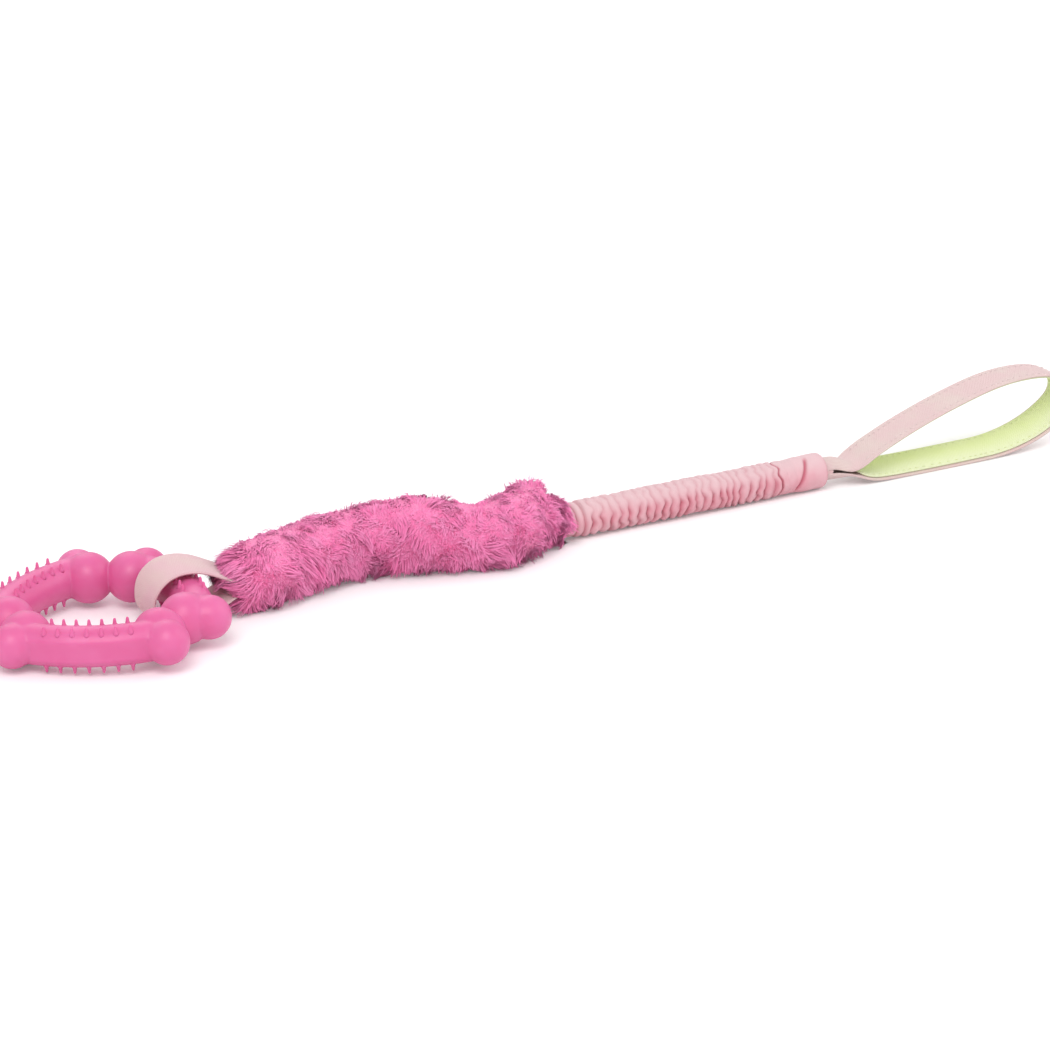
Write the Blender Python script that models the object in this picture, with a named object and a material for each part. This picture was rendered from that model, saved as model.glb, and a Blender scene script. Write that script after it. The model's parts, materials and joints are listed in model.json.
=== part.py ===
"""Bungee tug toy: nubbed chew ring, webbing tab, plush sleeve, gathered bungee and loop handle.

Metres, +Z up. The toy lies along X on the plane z = 0, its ring at -X and its handle at +X.
Each body has an empty on its joint's axis, and its pieces are modelled in that empty's frame.
"""
import math
import random

import bmesh
import bpy
from mathutils import Matrix, Vector

# Fits shared by all pieces
CLEARANCE = 0.0003
FLAT_CUT = 0.0005
SHARP_ANGLE = math.radians(35)
HALF_ROUND_STEPS = 12

# Webbing, at its full width and folded narrow
WEBBING_WIDTH = 0.025
WEBBING_THICKNESS = 0.0016
FOLDED_WIDTH = 0.012

# Chew ring: three bent bones moulded end to end, each end with an inner and an outer lobe
BONE_COUNT = 3
BONE_REACH = 0.0466
BONE_BEND_RADIUS = 0.085
SHAFT_RADIUS = 0.0106
SHAFT_SIDE = 0.0093
LOBE_ALONG = 0.0378
LOBE_OFFSET = 0.0062
INNER_LOBE_RADIUS = 0.0137
OUTER_LOBE_RADIUS = 0.0116
RING_STEPS_PER_BONE = 28
RING_SIDES = 24

# Nubs in two rows along the top and the bottom of each shaft
NUBS_PER_ROW = 7
NUB_PITCH = 0.0069
NUB_ROW_OFFSET = 0.0055
NUB_RISE = 0.0019
NUB_BASE_RADIUS = 0.0013
NUB_TIP_RADIUS = 0.0007
NUB_ROOT = 0.0016
NUB_SIDES = 6

# Strap that carries the ring: an eye, its taper and the stitched tab
EYE_TAPER = 0.013
TAB_LENGTH = 0.003
EYE_STEPS = 26

# Plush sleeve
SLEEVE_LENGTH = 0.198
PLUSH_THICKNESS = 0.0055
SLEEVE_SWELL = 0.0004
SWELL_COUNT = 4
MOUTH_WALL = 0.004
MOUTH_TAPER = 0.014
REAR_WALL = 0.0011
REAR_TAPER = 0.034
REAR_STRAIGHT = 0.010
SLEEVE_SWAY = 0.014
SWAY_SKEW_SHARE = 1.45
SWAY_EASE_SHARE = 0.15
SLEEVE_STEPS = 33
SLEEVE_SIDES = 24

# Wadding above and below the strap in the sleeve
WADDING_INSET = 0.005

# Bungee: two elastic cords in a gathered cloth tube
BUNGEE_SIDE_OFFSET = 0.006
NECK_SWING = math.radians(40)
NECK_PLAY = 0.0005
CORD_RADIUS = 0.0025
TONGUE_LENGTH = 0.016
WHIPPING_WALL = 0.0008
WHIPPING_LENGTH = 0.008
WHIPPING_TURNS = 6
WHIPPING_GROOVE = 0.0003
COLLAR_LENGTH = 0.010
COLLAR_WALL = 0.0015
BUNGEE_LENGTH = 0.1415
GATHER_COUNT = 26
GATHER_WALL = 0.0006
GATHER_DEPTH = 0.0016
GATHER_LEAN = 0.0006
GATHER_TURN = math.radians(52)
GATHER_SEED = 5
GATHER_SIDES = 20
CUFF_LENGTH = 0.0215
CUFF_WALL = 0.0027
CUFF_LIP = 0.0014

# How much the gathers differ, and one gather's outline as (along, rise) shares
GATHER_WIDTH_SHARE = 0.20
GATHER_DEPTH_SHARE = 0.30
GATHER_CREST_SHARE = 0.24
LEAN_EASE_SHARE = 0.15
GATHER_OUTLINE_SHARES = ((0.0, 0.0), (0.25, 0.78), (0.5, 1.0), (0.75, 0.70))

# Handle: a loop of webbing with a lining
HANDLE_LENGTH = 0.178
HANDLE_HEIGHT = 0.0476
HANDLE_WEB_THICKNESS = 0.0012
LINING_THICKNESS = 0.0010
NECK_FLARE = 0.020
HANDLE_PIVOT_SETBACK = 0.0035
LOOP_TILT = math.radians(12)
TILT_END_SHARE = 0.56
TILT_EASE_SHARE = 0.16
TAIL_GRIP = 0.014
TAIL_SHOULDER = 0.005

# Middle of the double webbing from the neck along the floor, round the end and back over the top,
# as shares of the handle's length and of its rise from the run on the floor to the top
LOOP_SHARES = (
    (0.125, 0.076), (0.200, 0.014), (0.340, 0.0), (0.560, 0.0), (0.700, 0.020),
    (0.815, 0.121), (0.910, 0.300), (0.972, 0.536), (0.968, 0.777), (0.905, 0.940),
    (0.800, 1.0), (0.665, 0.957), (0.500, 0.788), (0.340, 0.581), (0.205, 0.396),
    (0.110, 0.244),
)
LOOP_SMOOTH_STEPS = 5

# Ring and strap sizes that follow from the ones above
NUB_TIP_HEIGHT = SHAFT_RADIUS + NUB_RISE
SHAFT_BEND = BONE_BEND_RADIUS - math.sqrt(BONE_BEND_RADIUS ** 2 - (WEBBING_WIDTH / 2) ** 2)
NUB_REACH = math.hypot(NUB_ROW_OFFSET + NUB_TIP_RADIUS + SHAFT_BEND, NUB_TIP_HEIGHT)
EYE_RADIUS = NUB_REACH + CLEARANCE
STRAP_OUTER_RADIUS = EYE_RADIUS + WEBBING_THICKNESS
EYE_TO_MERGE = EYE_RADIUS + EYE_TAPER
EYE_TO_MOUTH = EYE_TO_MERGE + TAB_LENGTH

# Bungee sizes that follow; a bore's flats stand in from its corners by the cosine
SLEEVE_FLAT_SHARE = math.cos(math.pi / SLEEVE_SIDES)
GATHER_FLAT_SHARE = math.cos(math.pi / GATHER_SIDES)
CORD_HEIGHT = WEBBING_THICKNESS / 2 + CLEARANCE + CORD_RADIUS
GRIPPED_RADIUS = max(CORD_HEIGHT + CORD_RADIUS, math.hypot(FOLDED_WIDTH, WEBBING_THICKNESS) / 2)
WHIPPING_BORE = (GRIPPED_RADIUS + CLEARANCE) / GATHER_FLAT_SHARE
BUNGEE_BORE = (WHIPPING_BORE + WHIPPING_WALL + CLEARANCE) / SLEEVE_FLAT_SHARE
COLLAR_RADIUS = BUNGEE_BORE + COLLAR_WALL
GATHER_RADIUS = BUNGEE_BORE + GATHER_WALL + GATHER_DEPTH
CUFF_RADIUS = BUNGEE_BORE + CUFF_WALL
NECK_BORE = COLLAR_RADIUS + NECK_PLAY
NECK_SETBACK = NECK_BORE * math.tan(NECK_SWING / 2)

# Sleeve sizes that follow; its underside and the bungee's cuff lie on the floor
MOUTH_BORE = (math.hypot(WEBBING_WIDTH / 2, WEBBING_THICKNESS) + CLEARANCE) / SLEEVE_FLAT_SHARE
SLEEVE_RADIUS = MOUTH_BORE + PLUSH_THICKNESS
MOUTH_RADIUS = max(STRAP_OUTER_RADIUS + FLAT_CUT, MOUTH_BORE + MOUTH_WALL)
EYE_HEIGHT = MOUTH_RADIUS - FLAT_CUT
REAR_BORE = NECK_BORE / SLEEVE_FLAT_SHARE
REAR_RADIUS = max(CUFF_RADIUS + FLAT_CUT, REAR_BORE + REAR_WALL)
AXIS_HEIGHT = REAR_RADIUS - FLAT_CUT

# Handle sizes that follow
LAYER_SEAM = CLEARANCE / 2
LOOP_HALF = HANDLE_WEB_THICKNESS + CLEARANCE + LINING_THICKNESS + LAYER_SEAM
NECK_LAYER_MIDDLE = LAYER_SEAM + LINING_THICKNESS + LAYER_SEAM
OUTER_FACE = LAYER_SEAM + HANDLE_WEB_THICKNESS
FLOOR_RUN = WEBBING_WIDTH / 2 * math.sin(LOOP_TILT) + OUTER_FACE * math.cos(LOOP_TILT)
LOOP_RISE = HANDLE_HEIGHT - OUTER_FACE - FLOOR_RUN

CUTTERS = "cutters"
OBJECT = "bungee_tug_toy"


def clear_scene():
    """Remove whatever the scene holds."""
    for item in list(bpy.data.objects):
        bpy.data.objects.remove(item, do_unlink=True)


def collection(name):
    """Return the named collection, made and linked on first use."""
    found = bpy.data.collections.get(name)
    if found is None:
        found = bpy.data.collections.new(name)
        bpy.context.scene.collection.children.link(found)
    return found


def finish(name, colour, roughness):
    """A plain Principled material."""
    material = bpy.data.materials.new(name)
    material.use_nodes = True
    shader = material.node_tree.nodes["Principled BSDF"]
    shader.inputs["Base Color"].default_value = (*colour, 1.0)
    shader.inputs["Roughness"].default_value = roughness
    shader.inputs["Metallic"].default_value = 0.0
    return material


def frame(name, location, tilt=0.0):
    """An empty on a joint's axis; the pieces of that body hang from it."""
    empty = bpy.data.objects.new(name, None)
    empty.location = location
    empty.rotation_euler = (0.0, tilt, 0.0)
    collection(OBJECT).objects.link(empty)
    return empty


def add_piece(name, data, parent, material, into=OBJECT):
    """Link a mesh or curve as one named piece of the toy."""
    piece = bpy.data.objects.new(name, data)
    piece.parent = parent
    data.materials.append(material)
    collection(into).objects.link(piece)
    return piece


def mesh_from(name, bm):
    """Close a bmesh into mesh data with its faces turned outwards."""
    bmesh.ops.recalc_face_normals(bm, faces=bm.faces)
    data = bpy.data.meshes.new(name)
    bm.to_mesh(data)
    bm.free()
    data.shade_smooth()
    data.set_sharp_from_angle(angle=SHARP_ANGLE)
    return data


def loft(name, sections, parent, material, ring=False):
    """Skin a run of like sections; ring joins the last to the first, else both ends are capped."""
    bm = bmesh.new()
    loops = [[bm.verts.new(point) for point in section] for section in sections]
    following = loops[1:] + loops[:1] if ring else loops[1:]
    for near, far in zip(loops, following):
        for index in range(len(near)):
            after = (index + 1) % len(near)
            bm.faces.new((near[index], near[after], far[after], far[index]))
    if not ring:
        bm.faces.new(reversed(loops[0]))
        bm.faces.new(loops[-1])
    bmesh.ops.triangulate(bm, faces=bm.faces, quad_method="SHORT_EDGE")
    return add_piece(name, mesh_from(name, bm), parent, material)


def flat_outline(name, outlines, thickness, parent, material, rotation):
    """A flat plate with round or straight outlines, holes included."""
    curve = bpy.data.curves.new(name, "CURVE")
    curve.dimensions = "2D"
    curve.fill_mode = "BOTH"
    curve.extrude = thickness / 2
    for outline in outlines:
        spline = curve.splines.new("POLY")
        spline.points.add(len(outline) - 1)
        for point, (across, up) in zip(spline.points, outline):
            point.co = (across, up, 0.0, 1.0)
        spline.use_cyclic_u = True
    piece = add_piece(name, curve, parent, material)
    piece.rotation_euler = rotation
    return piece


def rod(name, start, end, radius, parent, material):
    """A straight round cord with filled caps."""
    curve = bpy.data.curves.new(name, "CURVE")
    curve.dimensions = "3D"
    curve.bevel_depth = radius
    curve.bevel_resolution = 2
    curve.use_fill_caps = True
    spline = curve.splines.new("POLY")
    spline.points.add(1)
    spline.points[0].co = (*start, 1.0)
    spline.points[1].co = (*end, 1.0)
    return add_piece(name, curve, parent, material)


def arc(centre, radius, start, end, steps):
    """Points along an arc, both ends included."""
    turns = [start + (end - start) * step / steps for step in range(steps + 1)]
    return [(centre + radius * math.cos(turn), radius * math.sin(turn)) for turn in turns]


def smooth(share):
    """Ease from 0 to 1 with level ends."""
    held = min(max(share, 0.0), 1.0)
    return held * held * (3 - 2 * held)


def circle(centre, side, up, radius, count):
    """One round section, with a flat side down."""
    points = []
    for index in range(count):
        turn = math.tau * (index + 0.5) / count
        points.append(centre + side * radius * math.sin(turn) - up * radius * math.cos(turn))
    return points


def turned(name, profile, sides, parent, material):
    """A closed profile of (along X, radius) points turned round the bungee's axis."""
    side = Vector((0, 1, 0))
    up = Vector((0, 0, 1))
    sections = [circle(Vector((along, 0, 0)), side, up, radius, sides) for along, radius in profile]
    return loft(name, sections, parent, material, ring=True)


# Chew ring

def bone_point(along, across):
    """A place beside the bent middle line of the bone that lies across +X, seen from above."""
    turn = along / BONE_BEND_RADIUS
    reach = BONE_BEND_RADIUS + across
    return Vector((BONE_REACH - BONE_BEND_RADIUS + reach * math.cos(turn), reach * math.sin(turn), 0))


def lobes():
    """Middle and radius of every lobe, about the ring's centre."""
    made = []
    for bone in range(BONE_COUNT):
        turned_bone = Matrix.Rotation(math.tau * bone / BONE_COUNT, 3, "Z")
        for end in (-LOBE_ALONG, LOBE_ALONG):
            made.append((turned_bone @ bone_point(end, -LOBE_OFFSET), INNER_LOBE_RADIUS))
            made.append((turned_bone @ bone_point(end, LOBE_OFFSET), OUTER_LOBE_RADIUS))
    return made


def shaft_middle(outward):
    """Where the nearest bone's middle line crosses an upright section, or None past its lobes."""
    bone = math.tau / BONE_COUNT
    turn = (math.atan2(outward.y, outward.x) + bone / 2) % bone - bone / 2
    bone_end = bone_point(LOBE_ALONG, 0)
    if abs(turn) > math.atan2(bone_end.y, bone_end.x):
        return None
    setback = BONE_BEND_RADIUS - BONE_REACH
    reach = math.sqrt(BONE_BEND_RADIUS ** 2 - (setback * math.sin(turn)) ** 2)
    return outward * (reach - setback * math.cos(turn))


def way_out(start, ahead, centre, radius):
    """How far a line from start runs before it leaves a ball, or 0 where it misses the ball."""
    nearest = (centre - start).dot(ahead)
    spare = radius ** 2 - (centre - start).length_squared + nearest ** 2
    return nearest + math.sqrt(spare) if spare > 0 else 0.0


def moulded_point(start, ahead):
    """Surface of the moulding on a line outwards from its middle; the shafts' outer side is flat."""
    outward = start.normalized()
    near = [(centre, radius) for centre, radius in lobes() if centre.dot(outward) > 0]
    lobe_reach = max(way_out(start, ahead, centre, radius) for centre, radius in near)
    shaft = shaft_middle(outward)
    shaft_reach = way_out(start, ahead, shaft, SHAFT_RADIUS) if shaft else 0.0
    point = start + ahead * max(lobe_reach, shaft_reach)
    if shaft_reach > lobe_reach:
        beyond_side = (point - shaft).dot(outward) - SHAFT_SIDE
        point -= outward * max(beyond_side, 0)
    return point


def ring_slope():
    """Sine of the ring's slope from its strap down to the lobes that rest on the floor."""
    slopes = [(EYE_HEIGHT - radius) / (BONE_REACH - centre.x) for centre, radius in lobes()
              if centre.x < 0]
    return min(slopes)


def ring_body(parent, material):
    """The three bones: a torus pushed out to the shafts and the lobes."""
    bpy.ops.mesh.primitive_torus_add(
        major_segments=RING_STEPS_PER_BONE * BONE_COUNT, minor_segments=RING_SIDES,
        major_radius=BONE_REACH, minor_radius=SHAFT_RADIUS)
    source = bpy.context.object
    bm = bmesh.new()
    bm.from_mesh(source.data)
    bpy.data.objects.remove(source, do_unlink=True)
    for vert in bm.verts:
        start = Vector((vert.co.x, vert.co.y, 0)).normalized() * BONE_REACH
        vert.co = moulded_point(start, (vert.co - start).normalized())
    bmesh.ops.translate(bm, verts=bm.verts, vec=(-BONE_REACH, 0, 0))
    return add_piece("chew_ring", mesh_from("chew_ring", bm), parent, material)


def ring_nubs(parent, material):
    """Every nub as a short cone, pointing straight up or down."""
    bm = bmesh.new()
    seat = math.sqrt(SHAFT_RADIUS ** 2 - NUB_ROW_OFFSET ** 2) - NUB_ROOT
    height = NUB_TIP_HEIGHT - seat
    to_eye = Matrix.Translation((-BONE_REACH, 0, 0))
    for bone in range(BONE_COUNT):
        turned_bone = Matrix.Rotation(math.tau * bone / BONE_COUNT, 4, "Z")
        for index in range(NUBS_PER_ROW):
            along = (index - (NUBS_PER_ROW - 1) / 2) * NUB_PITCH
            for row in (-NUB_ROW_OFFSET, NUB_ROW_OFFSET):
                place = Matrix.Translation(bone_point(along, row))
                for flip in (0, math.pi):
                    facing = Matrix.Rotation(flip, 4, "X")
                    lift = Matrix.Translation((0, 0, seat + height / 2))
                    bmesh.ops.create_cone(
                        bm, cap_ends=True, segments=NUB_SIDES, radius1=NUB_BASE_RADIUS,
                        radius2=NUB_TIP_RADIUS, depth=height,
                        matrix=to_eye @ turned_bone @ place @ facing @ lift)
    nubs = add_piece("ring_nubs", mesh_from("ring_nubs", bm), parent, material, CUTTERS)
    nubs.hide_render = True
    nubs.display_type = "WIRE"
    return nubs


def chew_ring(parent):
    """The moulded ring with its nubs joined on."""
    rubber = finish("ring_rubber", (0.90, 0.13, 0.42), 0.38)
    ring = ring_body(parent, rubber)
    join = ring.modifiers.new("nubs", "BOOLEAN")
    join.operation = "UNION"
    join.solver = "EXACT"
    join.object = ring_nubs(parent, rubber)
    return ring


# Ring strap

def ring_strap(parent):
    """Webbing folded round the ring's shaft, its two runs stitched together up to the hinge."""
    slope = math.asin(EYE_RADIUS / EYE_TO_MERGE)
    start = math.pi / 2 - slope
    eye = -EYE_TO_MOUTH
    merge = eye + (STRAP_OUTER_RADIUS - WEBBING_THICKNESS * math.cos(slope)) / math.sin(slope)
    outer = arc(0, WEBBING_THICKNESS, -math.pi / 2, math.pi / 2, HALF_ROUND_STEPS)
    outer += [(merge, WEBBING_THICKNESS)]
    outer += arc(eye, STRAP_OUTER_RADIUS, start, math.tau - start, EYE_STEPS)
    outer += [(merge, -WEBBING_THICKNESS)]
    inner = [(eye + EYE_TO_MERGE, 0)] + arc(eye, EYE_RADIUS, start, math.tau - start, EYE_STEPS)
    webbing = finish("pale_webbing", (0.86, 0.60, 0.60), 0.8)
    upright = (math.pi / 2, 0, 0)
    return flat_outline("ring_strap", (outer, inner), WEBBING_WIDTH, parent, webbing, upright)


# Plush sleeve and what it holds

def sleeve_span():
    """From the sleeve's mouth to the bungee's pivot."""
    return SLEEVE_LENGTH + NECK_SETBACK


def sleeve_radius(along):
    """Outer radius of the sleeve, drawn in at both ends."""
    front = smooth(along / MOUTH_TAPER)
    rear = smooth((SLEEVE_LENGTH - along) / REAR_TAPER)
    swell = SLEEVE_SWELL * math.sin(math.tau * SWELL_COUNT * along / SLEEVE_LENGTH)
    middle = SLEEVE_RADIUS + swell * front * rear
    opened = MOUTH_RADIUS + (middle - MOUTH_RADIUS) * front
    return REAR_RADIUS + (opened - REAR_RADIUS) * rear


def sleeve_bore(along):
    """Radius of the sleeve's bore."""
    rear = smooth((SLEEVE_LENGTH - along) / REAR_TAPER)
    return REAR_BORE + (MOUTH_BORE - REAR_BORE) * rear


def sleeve_centre(along):
    """Middle of the sleeve: it wanders sideways and keeps its underside on the floor."""
    share = min(max(along / (SLEEVE_LENGTH - REAR_STRAIGHT), 0.0), 1.0)
    level_ends = smooth(share / SWAY_EASE_SHARE) * smooth((1 - share) / SWAY_EASE_SHARE)
    side = SLEEVE_SWAY * math.sin(math.tau * share ** SWAY_SKEW_SHARE) * level_ends
    side += BUNGEE_SIDE_OFFSET * smooth(share)
    return Vector((along, side, sleeve_radius(along) - FLAT_CUT))


def sleeve_frame(along):
    """Centre, sideways and upward directions of the sleeve's section."""
    step = CLEARANCE
    ahead = sleeve_centre(along + step) - sleeve_centre(along - step)
    ahead.normalize()
    side = Vector((0, 0, 1)).cross(ahead).normalized()
    return sleeve_centre(along), side, ahead.cross(side)


def stations(start, end):
    """Places from start to end; those between are shared by the sleeve and all that lies in it."""
    shared = [SLEEVE_LENGTH * index / SLEEVE_STEPS for index in range(SLEEVE_STEPS + 1)]
    inner = [along for along in shared if start + CLEARANCE < along < end - CLEARANCE]
    return [start, *inner, end]


def fur_sleeve(parent):
    """The plush tube, pile included, with its bore."""
    sections = []
    places = stations(0, SLEEVE_LENGTH)
    for along in places:
        centre, side, up = sleeve_frame(along)
        section = circle(centre, side, up, sleeve_radius(along), SLEEVE_SIDES)
        for point in section:
            point.z = max(point.z, 0.0)
        sections.append(section)
    for along in reversed(places):
        centre, side, up = sleeve_frame(along)
        sections.append(circle(centre, side, up, sleeve_bore(along), SLEEVE_SIDES))
    plush = finish("pink_plush", (0.90, 0.27, 0.55), 0.95)
    return loft("fur_sleeve", sections, parent, plush, ring=True)


def core_strap(parent):
    """Webbing that carries the pull through the sleeve, folded narrow before the bungee."""
    start = WEBBING_THICKNESS + CLEARANCE
    end = sleeve_span() - FOLDED_WIDTH / 2 - CLEARANCE
    sections = []
    for along in stations(start, end):
        centre, side, up = sleeve_frame(along)
        narrowing = smooth((end - along) / REAR_TAPER)
        half = (FOLDED_WIDTH + (WEBBING_WIDTH - FOLDED_WIDTH) * narrowing) / 2
        thick = up * WEBBING_THICKNESS / 2
        wide = side * half
        sections.append([centre - wide - thick, centre + wide - thick,
                         centre + wide + thick, centre - wide + thick])
    webbing = finish("core_webbing", (0.82, 0.55, 0.58), 0.8)
    return loft("core_strap", sections, parent, webbing)


def wadding(name, direction, parent, material):
    """Half-round roll of wadding on one face of the strap."""
    last = SLEEVE_LENGTH - REAR_TAPER
    flat = WEBBING_THICKNESS / 2 + CLEARANCE
    half_sides = SLEEVE_SIDES // 2
    sections = []
    for along in stations(WADDING_INSET, last)[1:-1]:
        centre, side, up = sleeve_frame(along)
        radius = sleeve_bore(along) * SLEEVE_FLAT_SHARE - CLEARANCE
        low = math.asin(flat / radius)
        section = []
        for index in range(half_sides + 1):
            turn = low + (math.pi - 2 * low) * index / half_sides
            rise = up * radius * math.sin(turn) * direction
            section.append(centre + side * radius * math.cos(turn) + rise)
        sections.append(section)
    return loft(name, sections, parent, material)


# Bungee

def bungee_tongue(parent):
    """Narrow webbing between the cords' front ends; its round end turns on the neck's pivot."""
    half = FOLDED_WIDTH / 2
    outline = arc(0, half, math.pi / 2, math.tau * 3 / 4, HALF_ROUND_STEPS)
    outline += [(TONGUE_LENGTH, -half), (TONGUE_LENGTH, half)]
    webbing = finish("tongue_webbing", (0.82, 0.55, 0.58), 0.8)
    return flat_outline("bungee_tongue", (outline,), WEBBING_THICKNESS, parent, webbing, (0, 0, 0))


def whipping(name, parent, material):
    """Thread wound round the cords' ends, one ridge for each turn."""
    start = CLEARANCE
    turn = WHIPPING_LENGTH / WHIPPING_TURNS
    outer = WHIPPING_BORE + WHIPPING_WALL
    profile = []
    for index in range(WHIPPING_TURNS):
        left = start + index * turn
        profile.append((left, outer - WHIPPING_GROOVE))
        profile.append((left + turn / 2, outer))
    profile.append((start + WHIPPING_LENGTH, outer - WHIPPING_GROOVE))
    profile.append((start + WHIPPING_LENGTH, WHIPPING_BORE))
    profile.append((start, WHIPPING_BORE))
    return turned(name, profile, GATHER_SIDES, parent, material)


def front_collar(parent, cloth):
    """Plain end of the bungee's cloth where it is stitched down next to the plush."""
    edge = (COLLAR_RADIUS - BUNGEE_BORE) / 2
    profile = [(edge, COLLAR_RADIUS), (COLLAR_LENGTH, COLLAR_RADIUS),
               (COLLAR_LENGTH, BUNGEE_BORE), (0, BUNGEE_BORE), (0, BUNGEE_BORE + edge)]
    return turned("front_collar", profile, SLEEVE_SIDES, parent, cloth)


def gather_sections():
    """Outer sections of the gathered cloth, each gather with its own width, height and lean."""
    pick = random.Random(GATHER_SEED)
    widths = [1 + GATHER_WIDTH_SHARE * pick.uniform(-1, 1) for _ in range(GATHER_COUNT)]
    pitch = BUNGEE_LENGTH / sum(widths)
    front = COLLAR_LENGTH + CLEARANCE
    left = front
    sections = []
    for index, width in enumerate(widths):
        crest = GATHER_RADIUS - GATHER_DEPTH * GATHER_CREST_SHARE * pick.random()
        valley = BUNGEE_BORE + GATHER_WALL + GATHER_DEPTH * GATHER_DEPTH_SHARE * pick.random()
        for share, rise in GATHER_OUTLINE_SHARES:
            along = left + width * pitch * share
            done = (along - front) / BUNGEE_LENGTH
            ease = smooth(done / LEAN_EASE_SHARE) * smooth((1 - done) / LEAN_EASE_SHARE)
            radius = valley + (crest - valley) * rise
            sections.append((along, radius, GATHER_LEAN * ease, GATHER_TURN * index))
        left += width * pitch
    sections.append((left, BUNGEE_BORE + GATHER_WALL, 0.0, 0.0))
    return sections


def ruched_sleeve(parent, cloth):
    """Cloth tube gathered over the cords: irregular leaning gathers outside, a plain bore inside."""
    sections = []
    side = Vector((0, 1, 0))
    up = Vector((0, 0, 1))
    for along, radius, lean, lean_turn in gather_sections():
        section = circle(Vector((along, 0, 0)), side, up, radius, GATHER_SIDES)
        for point in section:
            point.x += lean * math.cos(math.atan2(point.y, -point.z) - lean_turn)
        sections.append(section)
    front = COLLAR_LENGTH + CLEARANCE
    for along in (front + BUNGEE_LENGTH, front):
        sections.append(circle(Vector((along, 0, 0)), side, up, BUNGEE_BORE, GATHER_SIDES))
    return loft("ruched_sleeve", sections, parent, cloth, ring=True)


def bungee_cords(parent, end):
    """The two elastic cords, one above and one below the tongues."""
    elastic = finish("elastic_cord", (0.80, 0.78, 0.76), 0.7)
    start = CLEARANCE
    for name, height in (("bungee_cord_upper", CORD_HEIGHT), ("bungee_cord_lower", -CORD_HEIGHT)):
        rod(name, (start, 0, height), (end, 0, height), CORD_RADIUS, parent, elastic)


def rear_cuff(parent, cloth):
    """Plain rear end of the cloth, with its edge turned in round the handle's tail."""
    lip = CUFF_LIP
    profile = [(0, CUFF_RADIUS - lip), (lip, CUFF_RADIUS), (CUFF_LENGTH - lip, CUFF_RADIUS),
               (CUFF_LENGTH, CUFF_RADIUS - lip), (CUFF_LENGTH, BUNGEE_BORE), (0, BUNGEE_BORE)]
    return turned("rear_cuff", profile, SLEEVE_SIDES, parent, cloth)


def handle_tail(parent, material):
    """The handle's four layers stitched into one tail: thin between the cords, full at the pivot."""
    pivot = CUFF_LENGTH + HANDLE_PIVOT_SETBACK
    step = CUFF_LENGTH - TAIL_SHOULDER
    thin = WEBBING_THICKNESS / 2
    outline = arc(pivot, LOOP_HALF, -math.pi / 2, math.pi / 2, HALF_ROUND_STEPS)
    outline += [(step, LOOP_HALF), (step, thin), (step - TAIL_GRIP, thin)]
    outline += [(step - TAIL_GRIP, -thin), (step, -thin), (step, -LOOP_HALF)]
    upright = (math.pi / 2, 0, 0)
    return flat_outline("handle_tail", (outline,), FOLDED_WIDTH, parent, material, upright)


# Handle

def loop_path():
    """Middle of the double webbing in the handle's frame, as smooth (along, up) points."""
    start = LOOP_HALF + CLEARANCE
    knots = [Vector((start, -NECK_LAYER_MIDDLE))]
    for along, up in LOOP_SHARES:
        reach = along * HANDLE_LENGTH - HANDLE_PIVOT_SETBACK
        knots.append(Vector((reach, FLOOR_RUN + up * LOOP_RISE - AXIS_HEIGHT)))
    knots.append(Vector((start, NECK_LAYER_MIDDLE)))
    level = Vector((start, 0))
    padded = [knots[0] - level, *knots, knots[-1] - level]
    points = []
    for index in range(1, len(padded) - 2):
        before, here, after, beyond = padded[index - 1:index + 3]
        for step in range(LOOP_SMOOTH_STEPS):
            share = step / LOOP_SMOOTH_STEPS
            slope_in = (after - before) / 2
            slope_out = (beyond - here) / 2
            points.append(
                here * (2 * share ** 3 - 3 * share ** 2 + 1)
                + slope_in * (share ** 3 - 2 * share ** 2 + share)
                + after * (3 * share ** 2 - 2 * share ** 3)
                + slope_out * (share ** 3 - share ** 2))
    points.append(knots[-1])
    return points


def loop_layer(name, inset, thickness, parent, material):
    """One layer of the loop: a band along the path, its lower run tipped to show its inner face."""
    path = loop_path()
    sections = []
    for index, point in enumerate(path):
        before = path[max(index - 1, 0)]
        after = path[min(index + 1, len(path) - 1)]
        ahead = (after - before).normalized()
        if index in (0, len(path) - 1):
            ahead = Vector((1 if index == 0 else -1, 0))
        outward = Vector((ahead.y, 0, -ahead.x))
        flare = smooth((point.x - path[0].x) / NECK_FLARE)
        half = (FOLDED_WIDTH + (WEBBING_WIDTH - FOLDED_WIDTH) * flare) / 2
        share = index / (len(path) - 1)
        until_end = smooth((TILT_END_SHARE - share) / TILT_EASE_SHARE)
        tilt = LOOP_TILT * smooth(share / TILT_EASE_SHARE) * until_end
        wide = Vector((0, math.cos(tilt), 0)) - outward * math.sin(tilt)
        normal = outward * math.cos(tilt) + Vector((0, math.sin(tilt), 0))
        centre = Vector((point.x, 0, point.y)) + normal * (inset + thickness / 2)
        wide = wide * half
        deep = normal * thickness / 2
        sections.append([centre - wide - deep, centre + wide - deep,
                         centre + wide + deep, centre - wide + deep])
    return loft(name, sections, parent, material)


def handle(parent):
    """Pale outer webbing and lime lining, one inside the other."""
    outer = finish("handle_webbing", (0.86, 0.60, 0.62), 0.8)
    lime = finish("lime_lining", (0.74, 0.85, 0.36), 0.8)
    loop_layer("handle_webbing", LAYER_SEAM, HANDLE_WEB_THICKNESS, parent, outer)
    loop_layer("handle_lining", -LAYER_SEAM - LINING_THICKNESS, LINING_THICKNESS, parent, lime)


# Whole toy

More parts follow.
